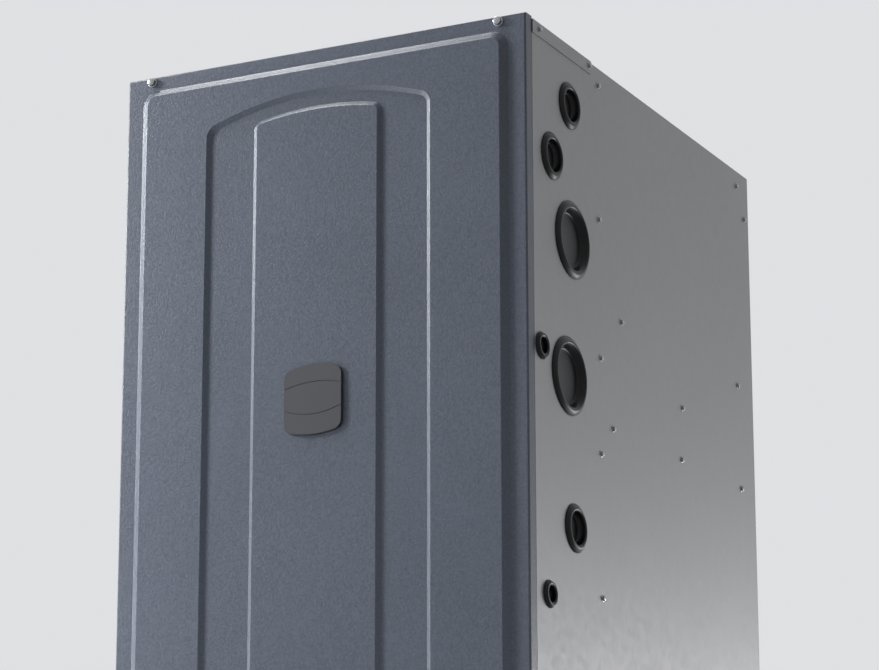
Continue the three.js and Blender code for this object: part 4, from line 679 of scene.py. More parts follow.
DOOR_SCREW_X, DOOR_SCREW_Z = WIDTH / 2 - 34.3, HEIGHT - 6.7
for side, sign in (("left", -1), ("right", 1)):
    screw = bmesh.new()
    place = (sign * DOOR_SCREW_X, -0.3, DOOR_SCREW_Z)
    hex_screw(screw, "-y", place, 9.5, 4.2, 6.0, 1.0, 0.3 * sign)
    spun(screw, [(0.0, 0.0), (2.2, 0.0), (2.2, 22.0), (0.3, 26.0), (0.0, 26.0)], "y", place, 16)
    add_piece(f"hex_screw_{side}", screw, "zinc", "door", [f"door_screw_{side}"])

# Screws in the side: millimetres behind the door's plane, and below the door's top
SIDE_SCREWS = [(204, 26), (201, 195), (201, 365), (199, 481), (197, 652), (263, 306),
               (447.5, 370), (634, 298), (234.5, 443), (442, 436.5), (639, 433),
               (646.5, 25), (672, 64)]
STRIP_SCREWS = [(35.9, 10.2), (176.0, 9.4)]
STRIP_FACE = 1.3  # the top plate's flange outside the side panel
for side, sign in (("left", -1), ("right", 1)):
    screws = bmesh.new()
    axis = "x" if sign > 0 else "-x"
    rows = [(y, drop, 0.0) for y, drop in SIDE_SCREWS] + [(y, drop, STRIP_FACE) for y, drop in STRIP_SCREWS]
    for number, (y, drop, out) in enumerate(rows):
        place = (sign * (WIDTH / 2 + out), y, HEIGHT - drop)
        hex_screw(screws, axis, place, 5.6, 2.2, 3.9, 0.7, number * 0.7)
    add_piece(f"side_screws_{side}", screws, "zinc", "cabinet")

# %% [markdown]
# ## Knock-out plugs
# Holes in both sides wait for gas pipe, vent pipe, drain and wiring. Each is closed by a
# black plug: a flange that leans on the sheet and rises to a round rim, and inside the rim a
# wall that drops to a disc set below the sheet's face. One spun profile gives all three
# sizes, with more steps in the rim's curve than the rough solid has.

# %% The fourteen plugs
PLUG_SIZES = {"large": (93.0, 78.0, 66.0), "medium": (57.0, 43.0, 35.0), "small": (32.0, 23.0, 17.0)}
PLUG_PLACES = [
    ("gas_upper", "medium", 118.9, 78.0), ("gas_lower", "medium", 68.2, 154.8),
    ("vent_upper", "large", 122.8, 241.4), ("wiring_upper", "small", 35.7, 389.6),
    ("vent_lower", "large", 109.9, 407.9), ("drain", "medium", 122.7, 583.9),
    ("wiring_lower", "small", 50.5, 672.2),
]


def plug_profile(flange, rim, disc):
    outer, crest, inner = flange / 2, rim / 2, disc / 2
    return [
        (0.0, -6.6), (crest - 0.4, -6.0), (crest - 0.3, 0.3), (outer, 0.3), (outer, 1.0),
        (outer - 0.4, 1.5), (crest + (outer - crest) * 0.55, 3.3), (crest + 2.0, 4.4),
        (crest + 0.6, 4.6), (crest - 0.9, 4.3), (crest - 1.9, 3.3), (inner + 1.6, 0.2),
        (inner + 0.6, -3.6), (inner - 0.6, -4.7), (inner - 2.0, -5.0), (0.0, -5.0),
    ]


for side, sign in (("left", -1), ("right", 1)):
    for label, size, behind, drop in PLUG_PLACES:
        plug = bmesh.new()
        spun(plug, plug_profile(*PLUG_SIZES[size]), "x" if sign > 0 else "-x",
             (sign * WIDTH / 2, behind, HEIGHT - drop), 64)
        add_piece(f"plug_cap_{side}_{label}", plug, "plug_plastic", "cabinet",
                  [f"plug_{side}_{label}"])

# %% [markdown]
# ## Pipes that bend
# Heat tubes, hoses and the gas pipe share one recipe: a ring of corners is carried along a
# route. The route is a list of points, and at each of them the ring turns through an arc
# about the centre of that bend. A hollow pipe gets an inner skin too, joined to the outer one
# at both ends.

# %% Carry a ring along a route
def bent_line(route, bend, steps):
    """The route's points, with every corner rounded to that radius."""
    corners = [Vector(point) for point in route]
    line = [corners[0]]
    for before, corner, after in zip(corners, corners[1:], corners[2:]):
        into, out = (before - corner).normalized(), (after - corner).normalized()
        half_angle = into.angle(out) / 2
        reach = bend / math.tan(half_angle)
        centre = corner + (into + out).normalized() * bend / math.sin(half_angle)
        start, end = corner + into * reach - centre, corner + out * reach - centre
        line += [centre + start.slerp(end, step / steps).normalized() * bend
                 for step in range(steps + 1)]
    line.append(corners[-1])
    return [line[0], *[b for a, b in zip(line, line[1:]) if (b - a).length > 1e-3]]


def bent_pipe(shape, route, bend, radius, wall=0.0, sides=28, steps=10):
    """Adds a pipe along a route. Without a wall it is a rod with closed ends."""
    line = bent_line(route, bend, steps)
    ways = [(b - a).normalized() for a, b in zip(line, line[1:])]
    heading = [ways[0], *[(a + b).normalized() for a, b in zip(ways, ways[1:])], ways[-1]]
    out = ways[0].orthogonal().normalized()
    part = bmesh.new()
    skins = {size: [] for size in ((radius, radius - wall) if wall else (radius,))}
    for place, ahead, before in zip(line, heading, [heading[0], *heading]):
        out = before.rotation_difference(ahead) @ out
        for size, rings in skins.items():
            rings.append([part.verts.new(place + Quaternion(ahead, math.tau * side / sides) @ out * size)
                          for side in range(sides)])
    for rings in skins.values():
        for ring, following in zip(rings, rings[1:]):
            for side in range(sides):
                after = (side + 1) % sides
                part.faces.new((ring[side], ring[after], following[after], following[side]))
    for end in (0, -1):
        rims = [rings[end] for rings in skins.values()]
        if not wall:
            part.faces.new(rims[0])
            continue
        for side in range(sides):
            after = (side + 1) % sides
            part.faces.new((rims[0][side], rims[0][after], rims[1][after], rims[1][side]))
    bmesh.ops.recalc_face_normals(part, faces=part.faces)
    gather(shape, part)


def eased_box(shape, across, depth, up, ease, segments=3):
    """Adds a box between [low, high] pairs, with its edges eased by that many millimetres."""
    part = bmesh.new()
    middle = [(low + high) / 2 for low, high in (across, depth, up)]
    size = [high - low for low, high in (across, depth, up)]
    bmesh.ops.create_cube(part, size=1.0, matrix=Matrix.Translation(middle) @ Matrix.Diagonal((*size, 1.0)))
    bmesh.ops.bevel(part, geom=part.edges[:], offset=ease, offset_type="OFFSET", segments=segments,
                    profile=0.5, affect="EDGES", material=-1, clamp_overlap=True)
    gather(shape, part)


def around(middle, half):
    return (middle - half, middle + half)


print("pipes and boxes are ready")

# %% [markdown]
# ## Heat exchanger
# Four aluminised tubes run back, forward and back again from the burners to a box at the
# rear, where the flue gas turns into the coil. The coil is a stack of thin fins; the packed
# solid is its outer block, and the fins stand out of that block by a hair.

# %% Heat tubes and fins
TUBE_PLACES = (-138.0, -46.0, 46.0, 138.0)
TUBE_TOP, TUBE_MIDDLE, TUBE_LOW = 791.6, 701.3, 611.0
TUBE_BEND = (TUBE_TOP - TUBE_LOW) / 4
for number, x in enumerate(TUBE_PLACES, 1):
    tube = bmesh.new()
    bent_pipe(tube, [(x, 187, TUBE_TOP), (x, 617, TUBE_TOP), (x, 617, TUBE_MIDDLE),
                     (x, 233, TUBE_MIDDLE), (x, 233, TUBE_LOW), (x, 615, TUBE_LOW)],
              TUBE_BEND, 22.0, 1.6, 40, 12)
    add_piece(f"smooth_heat_tube_{number}", tube, "aluminised", "cabinet", [f"heat_tube_{number}"])

fins = bmesh.new()
FIN_PITCH, FIN_SHEET = 3.0, 0.4
for number in range(int((595 - 209) / FIN_PITCH)):
    y = 209 + number * FIN_PITCH
    bmesh.ops.create_cube(fins, size=1.0, matrix=(
        Matrix.Translation((0.0, y, 502.5)) @ Matrix.Diagonal((368.6, FIN_SHEET, 103.6, 1.0))))
add_piece("coil_fins", fins, "aluminium", "cabinet")

# %% [markdown]
# ## Scroll housings
# Both fans push their air round a scroll, whose radius grows by a steady amount on the way
# round. The same outline serves the sheet metal blower and the moulded inducer. The blower's
# sides are filled between that outline and the round inlet, its wrap is left open at the
# outlet, and each inlet gets a rolled lip.

# %% The blower housing
def scroll_points(start, end, throat, top, steps):
    """Points (u, v) about the fan's axis: the outlet's two corners, then the scroll."""
    sweep = math.pi * 1.5 + math.asin(throat / start)
    points = [(throat, top), (end, top)]
    for step in range(steps + 1):
        share = step / steps
        radius = end + (start - end) * share
        points.append((radius * math.cos(sweep * share), -radius * math.sin(sweep * share)))
    return points


BLOWER_BACK, BLOWER_UP, BLOWER_HALF = 450.0, 215.0, 131.0
OUTLET_TOP = 416.7
INLET = 112.0
scroll = bmesh.new()
outline = [(BLOWER_BACK + u, BLOWER_UP + v)
           for u, v in scroll_points(151.2, 201.2, 3.8, OUTLET_TOP - BLOWER_UP, 72)]
loops = {}
for sign in (-1, 1):
    ring = [scroll.verts.new((sign * BLOWER_HALF, y, z)) for y, z in outline]
    rim = [scroll.edges.new(pair) for pair in zip(ring, [*ring[1:], ring[0]])]
    inlet = bmesh.ops.create_circle(scroll, cap_ends=False, segments=72, radius=INLET + 3.0,
                                    matrix=aim("x", (sign * BLOWER_HALF, BLOWER_BACK, BLOWER_UP)))
    eye = list({edge for vert in inlet["verts"] for edge in vert.link_edges})
    bmesh.ops.triangle_fill(scroll, use_beauty=True, use_dissolve=False, edges=rim + eye,
                            normal=(float(sign), 0.0, 0.0))
    loops[sign] = ring
left_ring, right_ring = loops[-1], loops[1]
for number in range(1, len(outline)):
    after = (number + 1) % len(outline)
    scroll.faces.new((left_ring[number], left_ring[after], right_ring[after], right_ring[number]))
bmesh.ops.recalc_face_normals(scroll, faces=scroll.faces)
outward = max(scroll.faces, key=lambda f: f.calc_center_median().x)
if outward.normal.x < 0:
    bmesh.ops.reverse_faces(scroll, faces=scroll.faces)
scroll_sheet = add_piece("blower_scroll", scroll, "galvanised", "cabinet", ["blower_housing"])
wall = scroll_sheet.modifiers.new("sheet", "SOLIDIFY")
wall.thickness, wall.offset = 0.0012, -1.0

trim = bmesh.new()
LIP_PROFILE = [(INLET + 7.0, 0.2), (INLET + 5.0, 1.4), (INLET + 2.4, 1.0), (INLET + 0.6, -1.2),
               (INLET, -4.0), (INLET, -10.0), (INLET + 1.2, -10.0), (INLET + 1.4, -4.2),
               (INLET + 2.2, -2.2), (INLET + 4.0, -1.6), (INLET + 7.0, -1.6), (INLET + 7.0, 0.2)]
for axis, sign in (("x", 1), ("-x", -1)):
    spun(trim, LIP_PROFILE, axis, (sign * BLOWER_HALF, BLOWER_BACK, BLOWER_UP), 72)
FLANGE = (OUTLET_TOP - 1.2, OUTLET_TOP)
eased_box(trim, around(0.0, 153.0), (433.0, 455.0), FLANGE, 0.3)
eased_box(trim, around(0.0, 153.0), (650.0, 661.0), FLANGE, 0.3)
for sign in (-1, 1):
    eased_box(trim, around(sign * 141.5, 11.5), (455.0, 650.0), FLANGE, 0.3)
add_piece("blower_inlet_lips", trim, "galvanised", "cabinet")

# %% [markdown]
# ## Blower wheel and motor
# The wheel is a cage: rows of thin curved blades between two rings, on a disc in the middle
# that carries the hub. Each blade is a strip bent through five points; one is made and the
# rest are turned copies. The motor sits inside the wheel, held by its belly band.

# %% The wheel and the motor
WHEEL, BLADE_DEPTH, WHEEL_HALF = 132.0, 14.0, 118.0
BLADE_COUNT = 46
wheel = bmesh.new()
for number in range(BLADE_COUNT):
    turn = math.tau * number / BLADE_COUNT
    strips = []
    for step in range(6):
        share = step / 5
        radius = WHEEL - BLADE_DEPTH + BLADE_DEPTH * share
        lean = turn + 0.085 * share * share
        y, z = BLOWER_BACK + radius * math.sin(lean), BLOWER_UP + radius * math.cos(lean)
        strips.append([wheel.verts.new((x, y, z)) for x in (1.0 - WHEEL_HALF, WHEEL_HALF - 1.0)])
    for strip, following in zip(strips, strips[1:]):
        wheel.faces.new((strip[0], strip[1], following[1], following[0]))
bmesh.ops.recalc_face_normals(wheel, faces=wheel.faces)
blades = add_piece("blower_blades", wheel, "galvanised", "blower_rotor", ["blower_wheel"])
wall = blades.modifiers.new("sheet", "SOLIDIFY")
wall.thickness, wall.offset = 0.0008, 0.0

frame_of_wheel = bmesh.new()
RING = [(WHEEL - BLADE_DEPTH, 0.0), (WHEEL, 0.0), (WHEEL, 5.0), (WHEEL - BLADE_DEPTH, 5.0),
        (WHEEL - BLADE_DEPTH, 0.0)]
for axis, x in (("x", -WHEEL_HALF), ("-x", WHEEL_HALF)):
    spun(frame_of_wheel, RING, axis, (x, BLOWER_BACK, BLOWER_UP), 92, 0.8)
spun(frame_of_wheel, [(0.0, -1.5), (30.0, -1.5), (44.0, -1.5), (WHEEL - 1.0, -1.5), (WHEEL - 1.0, 1.5),
                      (44.0, 1.5), (30.0, 1.5), (0.0, 1.5)], "x", (0.0, BLOWER_BACK, BLOWER_UP), 92)
spun(frame_of_wheel, [(0.0, -19.0), (20.0, -19.0), (20.0, 11.0), (0.0, 11.0)], "x",
     (0.0, BLOWER_BACK, BLOWER_UP), 48, 1.0)
spun(frame_of_wheel, [(0.0, -30.0), (6.35, -30.0), (6.35, 15.7), (0.0, 15.7)], "x",
     (0.0, BLOWER_BACK, BLOWER_UP), 32, 0.5)
add_piece("blower_wheel_frame", frame_of_wheel, "galvanised", "blower_rotor")

motor = bmesh.new()
MOTOR_PROFILE = [(0.0, 0.0), (18.0, 0.0), (18.0, 4.0), (58.0, 6.0), (65.0, 8.0), (69.0, 13.0),
                 (69.0, 40.0), (67.4, 41.5), (67.4, 104.0), (69.0, 105.5), (69.0, 134.0),
                 (66.0, 142.0), (58.0, 146.0), (30.0, 146.0), (28.0, 144.0), (0.0, 144.0)]
spun(motor, MOTOR_PROFILE, "x", (16.0, BLOWER_BACK, BLOWER_UP), 64, 0.6)
add_piece("motor_shell", motor, "black_steel", "cabinet", ["blower_motor"])

# %% [markdown]
# ## Inducer
# The inducer's housing is moulded in black plastic. Its outline is pulled back into a tray,
# whose front edges are rounded, and a Solidify modifier makes the wall, so the wheel inside
# still turns freely. Bosses with screws fix it to the collector box, and the motor stands on
# its front.

# %% Inducer housing and motor
INDUCER = (150.0, 500.0)
INDUCER_FRONT, INDUCER_BACK = 107.4, 149.4
VENT = (207.0, 128.4)
tray = bmesh.new()
points = [(INDUCER[0] + u, INDUCER[1] + v) for u, v in scroll_points(60.5, 80.5, 33.5, 72.0, 60)]
face = outline_face(tray, points, INDUCER_FRONT, {})
edges = bmesh.ops.extrude_edge_only(tray, edges=list(face.edges))
pulled = [v for v in edges["geom"] if isinstance(v, bmesh.types.BMVert)]
bmesh.ops.translate(tray, verts=pulled, vec=(0.0, INDUCER_BACK - INDUCER_FRONT, 0.0))
bmesh.ops.bevel(tray, geom=list(face.edges), offset=4.0, offset_type="OFFSET", segments=4,
                profile=0.5, affect="EDGES", material=-1)
bmesh.ops.recalc_face_normals(tray, faces=tray.faces)
if min(tray.faces, key=lambda f: f.calc_center_median().y).normal.y > 0:
    bmesh.ops.reverse_faces(tray, faces=tray.faces)
scroll_case = add_piece("inducer_scroll", tray, "black_plastic", "cabinet", ["inducer_housing"])
wall = scroll_case.modifiers.new("wall", "SOLIDIFY")
wall.thickness, wall.offset = 0.0024, -1.0

bosses = bmesh.new()
spun(bosses, [(18.5, -6.0), (18.5, 35.0), (23.4, 35.0), (26.2, 32.0), (26.2, 0.0), (24.0, 0.0),
              (24.0, -6.0), (18.5, -6.0)], "z", (*VENT, 567.0), 48, 0.4)
BOSS_ANGLES = (-95.0, -150.0, 160.0, 112.0, -40.0)
for angle in BOSS_ANGLES:
    lean = math.radians(angle)
    reach = 66.0 + 16.0 * (0.5 - 0.5 * math.cos(lean / 2))
    x, z = INDUCER[0] + reach * math.sin(lean), INDUCER[1] + reach * math.cos(lean)
    spun(bosses, [(0.0, 0.0), (6.5, 0.0), (5.6, 30.0), (0.0, 30.0)], "-y", (x, INDUCER_BACK, z), 28, 0.6)
add_piece("inducer_bosses", bosses, "black_plastic", "cabinet")

screws = bmesh.new()
for angle in BOSS_ANGLES:
    lean = math.radians(angle)
    reach = 66.0 + 16.0 * (0.5 - 0.5 * math.cos(lean / 2))
    x, z = INDUCER[0] + reach * math.sin(lean), INDUCER[1] + reach * math.cos(lean)
    hex_screw(screws, "-y", (x, INDUCER_BACK - 30.0, z), 5.6, 2.6, 4.4, 0.8, lean)
add_piece("inducer_screws", screws, "zinc", "cabinet")

motor = bmesh.new()
spun(motor, [(0.0, 0.0), (48.0, 0.0), (48.0, 3.0), (43.0, 4.0), (42.0, 6.0), (42.0, 18.0), (40.6, 19.2),
             (40.6, 30.0), (42.0, 31.2), (42.0, 38.0), (40.0, 43.0), (35.0, 46.0), (14.0, 46.0),
             (12.0, 47.0), (12.0, 51.0), (10.0, 52.0), (0.0, 52.0)],
     "-y", (INDUCER[0], INDUCER_FRONT - 0.6, INDUCER[1]), 64, 0.4)
add_piece("inducer_motor_shell", motor, "zinc", "cabinet", ["inducer_motor"])

# %% [markdown]
# ## Collector box, vent and air inlet
# The collector box gathers flue gas and water at the front of the coil; stiffening ribs run
# up its face. The white vent pipe is pushed over the inducer's spigot and ends in a flange on
# the top plate. The air inlet is a rubber collar of the same kind.

# %% Collector box, vent pipe and air collar
COLLECTOR_FRONT, COLLECTOR_BACK = 149.7, 189.7
DRAIN, TAP = (-140.0, 169.7), (-60.0, 543.0)
collector = bmesh.new()
eased_box(collector, around(0.0, 190.0), (COLLECTOR_FRONT, COLLECTOR_BACK), (442.0, 563.0), 5.0, 4)
eased_box(collector, around(0.0, 190.0), (COLLECTOR_BACK - 5.0, COLLECTOR_BACK), (439.0, 566.0), 1.5)
for number in range(6):
    x = -168.0 + number * 44.0
    eased_box(collector, around(x, 1.4), (COLLECTOR_FRONT - 2.6, COLLECTOR_FRONT + 3.0), (449.0, 533.0), 1.2)
spun(collector, [(6.0, 0.0), (8.0, 0.0), (8.0, 14.0), (6.0, 14.0), (6.0, 0.0)], "-z", (*DRAIN, 442.2), 32, 0.4)
spun(collector, [(0.0, 0.0), (4.0, 0.0), (2.0, 2.0), (2.0, 9.0), (2.5, 10.0), (2.0, 12.0), (0.0, 12.0)],
     "-y", (TAP[0], COLLECTOR_FRONT, TAP[1]), 24)
add_piece("collector_case", collector, "black_plastic", "cabinet", ["collector_box"])

vent = bmesh.new()
spun(vent, [(26.5, 0.0), (30.0, 0.0), (30.0, 279.2), (40.0, 279.2), (40.0, 281.3), (26.5, 281.3), (26.5, 0.0)],
     "z", (*VENT, 582.0), 72, 0.5)
add_piece("smooth_vent_pipe", vent, "white_plastic", "cabinet", ["vent_pipe"])
band = bmesh.new()
spun(band, [(30.1, 0.0), (31.0, 0.0), (31.0, 9.0), (30.1, 9.0), (30.1, 0.0)], "z", (*VENT, 588.0), 64, 0.3)
eased_box(band, around(VENT[0], 7.0), (VENT[1] - 36.0, VENT[1] - 30.4), (588.5, 596.5), 1.0)
hex_screw(band, "-x", (VENT[0] - 7.0, VENT[1] - 33.2, 592.5), 5.6, 3.0, 3.6, 0.6)
add_piece("vent_clamp", band, "zinc", "cabinet")

collar = bmesh.new()
spun(collar, [(26.5, 0.0), (30.0, 0.0), (30.0, 1.5), (36.0, 1.5), (36.0, 5.5), (30.0, 5.5), (30.0, 18.8),
              (40.0, 18.8), (40.0, 20.9), (26.5, 20.9), (26.5, 0.0)], "z", (-110.0, 124.0, 842.4), 64, 0.5)
add_piece("smooth_air_collar", collar, "rubber", "cabinet", ["air_inlet_collar"])

# %% [markdown]
# ## Gas train
# Gas comes up through a cast valve and a bent iron pipe into the burner box. The valve is a
# casting with rounded edges, round ports and a lid of black plastic; its red knob turns. The
# sight glass and the roll-out switch with its reset button are on the box's cover, which
# small screws hold.

# %% Valve, pipe and cover
VALVE, VALVE_FRONT, VALVE_BACK = -216.0, 45.0, 111.0
PIPE_BACK, KNOB_UP = 78.0, 687.6
valve = bmesh.new()
eased_box(valve, around(VALVE, 39.0), (VALVE_FRONT + 2.0, VALVE_BACK), (629.6, 703.6), 5.0, 4)
eased_box(valve, around(VALVE, 24.0), (VALVE_FRONT, VALVE_FRONT + 8.0), (662.0, 700.0), 2.0)
spun(valve, [(0.0, 0.0), (17.0, 0.0), (17.0, 10.0), (13.0, 12.0), (13.0, 12.0), (0.0, 12.0)], "z",
     (VALVE, PIPE_BACK, 701.6), 6, 0.8)
spun(valve, [(10.0, 0.0), (19.0, 0.0), (19.0, 13.0), (17.5, 14.0), (10.0, 14.0), (10.0, 0.0)], "-z",
     (VALVE, PIPE_BACK, 631.6), 8, 0.6)
spun(valve, [(0.0, 0.0), (20.0, 0.0), (20.0, 18.0), (18.0, 24.0), (0.0, 24.0)], "y",
     (VALVE, VALVE_BACK, 663.6), 48, 0.8)
add_piece("cast_valve", valve, "cast_metal", "cabinet", ["gas_valve"])

lid = bmesh.new()
eased_box(lid, around(VALVE, 33.0), (VALVE_FRONT - 3.0, VALVE_FRONT + 4.0), (634.0, 657.0), 2.0)
for number in range(3):
    eased_box(lid, around(VALVE - 18.0 + number * 18.0, 5.5), (VALVE_FRONT - 8.0, VALVE_FRONT - 2.0),
              (640.0, 651.0), 1.0)
add_piece("valve_terminals", lid, "black_plastic", "cabinet")
fixings = bmesh.new()
for x in (-33.0, 33.0):
    for z in (664.0, 697.5):
        spun(fixings, [(0.0, 0.0), (3.4, 0.0), (3.4, 1.4), (2.6, 2.4), (0.0, 2.4)], "-y",
             (VALVE + x, VALVE_FRONT + 2.0, z), 24, 0.3)
spun(fixings, [(0.0, 0.0), (6.0, 0.0), (6.0, 5.0), (0.0, 5.0)], "z", (VALVE - 27.0, 62.0, 703.0), 32, 0.8)
add_piece("valve_screws", fixings, "zinc", "cabinet")

knob = bmesh.new()
spun(knob, [(0.0, 0.0), (13.0, 0.0), (13.0, 4.5), (11.4, 6.0), (0.0, 6.0)], "-y",
     (VALVE, VALVE_FRONT - 0.3, KNOB_UP), 48, 0.5)
eased_box(knob, around(VALVE, 2.5), (VALVE_FRONT - 14.3, VALVE_FRONT - 4.3), around(KNOB_UP, 12.0), 1.2)
add_piece("turning_knob", knob, "red_plastic", "valve_knob", ["gas_valve_knob"])

pipe = bmesh.new()
bent_pipe(pipe, [(158.0, PIPE_BACK, TUBE_TOP), (VALVE, PIPE_BACK, TUBE_TOP), (VALVE, PIPE_BACK, 713.9)],
          22.0, 10.0, 0.0, 36, 12)
for x in TUBE_PLACES:
    spun(pipe, [(0.0, 0.0), (5.0, 0.0), (5.0, 19.0), (2.0, 22.0), (0.0, 22.0)], "y",
         (x, PIPE_BACK, TUBE_TOP), 6, 0.3)
spun(pipe, [(10.0, 0.0), (13.0, 0.0), (13.0, 12.0), (10.0, 12.0), (10.0, 0.0)], "z",
     (VALVE, PIPE_BACK, 716.0), 32, 0.8)
add_piece("gas_pipe", pipe, "black_steel", "cabinet", ["gas_manifold"])

COVER, BOX_HALF = 60.6, 172.0
glass = bmesh.new()
spun(glass, [(0.0, 0.0), (13.6, 0.0), (13.6, 3.0), (12.6, 4.2), (0.0, 4.6)], "-y", (0.0, COVER - 0.3, TUBE_TOP), 48)
add_piece("sight_window", glass, "sight_glass", "cabinet", ["sight_glass"])
bezel = bmesh.new()
spun(bezel, [(13.8, 0.0), (18.0, 0.0), (18.0, 2.5), (15.6, 5.0), (13.8, 5.0), (13.8, 0.0)], "-y",
     (0.0, COVER - 0.3, TUBE_TOP), 48, 0.3)
for x in (-BOX_HALF + 9.0, -62.0, 62.0, BOX_HALF - 9.0):
    for z in (749.0, 834.0):
        hex_screw(bezel, "-y", (x, COVER, z), 5.6, 2.4, 4.0, 0.7, x)
add_piece("cover_screws", bezel, "zinc", "cabinet")

ROLLOUT = (100.0, 759.6)
switch = bmesh.new()
spun(switch, [(3.3, 11.8), (3.3, 5.0), (0.0, 5.0), (0.0, 0.0), (10.0, 0.0), (10.0, 4.0), (8.0, 5.0),
              (8.0, 11.0), (7.2, 12.0), (3.3, 12.0), (3.3, 11.8)], "-y", (ROLLOUT[0], COVER - 0.3, ROLLOUT[1]), 36)
eased_box(switch, around(ROLLOUT[0], 17.0), (COVER - 1.5, COVER - 0.3), around(ROLLOUT[1], 5.0), 0.5)
add_piece("rollout_body", switch, "zinc", "cabinet", ["rollout_switch"])
button = bmesh.new()
spun(button, [(0.0, 0.0), (2.0, 0.1), (2.8, 0.7), (3.0, 1.6), (3.0, 7.0), (0.0, 7.0)], "y",
     (ROLLOUT[0], COVER - 16.3, ROLLOUT[1]), 28)
add_piece("press_button", button, "red_plastic", "reset_button", ["rollout_reset_button"])

# %% [markdown]
# ## Pressure switch, hoses and trap
# The pressure switch is two dished halves crimped together, on a strap. A hose joins it to
# the collector box. Below, water leaves the collector through a cranked hose into a white
# trap.

# %% Pressure switch, hoses and trap
SWITCH = (-60.0, 645.3)
can = bmesh.new()
spun(can, [(0.0, 0.0), (27.0, 0.0), (28.0, 1.0), (28.0, 8.4), (31.0, 9.4), (32.0, 10.4), (32.0, 15.6),
           (31.0, 16.8), (28.0, 17.8), (24.0, 18.8), (14.5, 19.5), (12.0, 20.5), (10.5, 25.0), (9.5, 26.0),
           (2.0, 26.0), (2.0, 35.0), (2.5, 36.0), (2.0, 38.0), (0.0, 38.0)], "-y", (SWITCH[0], 189.7, SWITCH[1]), 56)
for x in (-14.0, 14.0):
    eased_box(can, around(SWITCH[0] + x, 3.2), (164.0, 172.0), around(SWITCH[1] - 14.0, 1.0), 0.3)
add_piece("pressure_can", can, "black_plastic", "cabinet", ["pressure_switch"])
strap = bmesh.new()
eased_box(strap, around(SWITCH[0], 12.7), (188.5, 189.7), around(SWITCH[1], 38.0), 0.5)
for z in (-33.5, 33.5):
    hex_screw(strap, "-y", (SWITCH[0], 188.5, SWITCH[1] + z), 5.6, 2.4, 4.0, 0.7, z)
add_piece("pressure_strap", strap, "zinc", "cabinet")

hose = bmesh.new()
bent_pipe(hose, [(SWITCH[0], 149.4, TAP[1]), (SWITCH[0], 119.7, TAP[1]), (SWITCH[0], 119.7, SWITCH[1]),
                 (SWITCH[0], 163.4, SWITCH[1])], 14.0, 4.0, 1.2, 24, 12)
add_piece("smooth_pressure_hose", hose, "rubber", "cabinet", ["pressure_hose"])

drain = bmesh.new()
bent_pipe(drain, [(DRAIN[0], DRAIN[1], 441.7), (DRAIN[0], DRAIN[1], 424.5), (DRAIN[0] + 10.0, DRAIN[1], 419.5),
                  (DRAIN[0] + 10.0, DRAIN[1], 402.3)], 8.0, 10.5, 1.7, 32, 8)
add_piece("smooth_drain_hose", drain, "rubber", "cabinet", ["drain_hose"])
clips = bmesh.new()
for x, z in ((DRAIN[0], 430.0), (DRAIN[0] + 10.0, 406.0)):
    spun(clips, [(10.6, 0.0), (11.6, 0.0), (11.6, 4.5), (10.6, 4.5), (10.6, 0.0)], "z", (x, DRAIN[1], z), 36, 0.2)
add_piece("drain_clips", clips, "zinc", "cabinet")

trap = bmesh.new()
eased_box(trap, (-177.0, -144.0), (133.7, 189.7), (306.0, 376.0), 3.5, 4)
eased_box(trap, (-146.0, -103.0), (133.7, 189.7), (306.0, 402.0), 3.5, 4)
eased_box(trap, (-178.5, -101.5), (160.0, 163.0), (304.5, 378.0), 1.0)
spun(trap, [(6.0, 0.0), (8.0, 0.0), (8.0, 12.0), (6.0, 12.0), (6.0, 0.0)], "z", (-130.0, DRAIN[1], 401.8), 32, 0.5)
spun(trap, [(5.0, 0.0), (8.0, 0.0), (8.0, 12.0), (9.0, 13.0), (8.0, 16.0), (5.0, 16.0), (5.0, 0.0)], "-x",
     (-177.0, DRAIN[1], 326.0), 32)
add_piece("moulded_trap", trap, "white_plastic", "cabinet", ["condensate_trap"])

# %% [markdown]
# ## Controls
# The control board carries relays, a row of screw terminals, two sockets, a chip and a few
# small parts, on four posts. The transformer is a stack of steel sheets round a wound coil.
# The door switch is a small black box whose plunger the door presses.

# %% Board, transformer and door switch
BOARD_LEFT, BOARD_RIGHT, BOARD_LOW, BOARD_HIGH = -40.0, 130.0, 240.0, 370.0
BOARD_FACE, BOARD_BACK = 178.1, 179.7
card = bmesh.new()
eased_box(card, (BOARD_LEFT, BOARD_RIGHT), (BOARD_FACE, BOARD_BACK), (BOARD_LOW, BOARD_HIGH), 0.3, 1)
add_piece("board_card", card, "circuit", "cabinet", ["control_board"])


def on_card(shape, across, up, depth, ease=0.8):
    """A part that stands on the card, that many millimetres deep."""
    eased_box(shape, across, (BOARD_FACE - depth, BOARD_FACE + 0.2), up, ease)


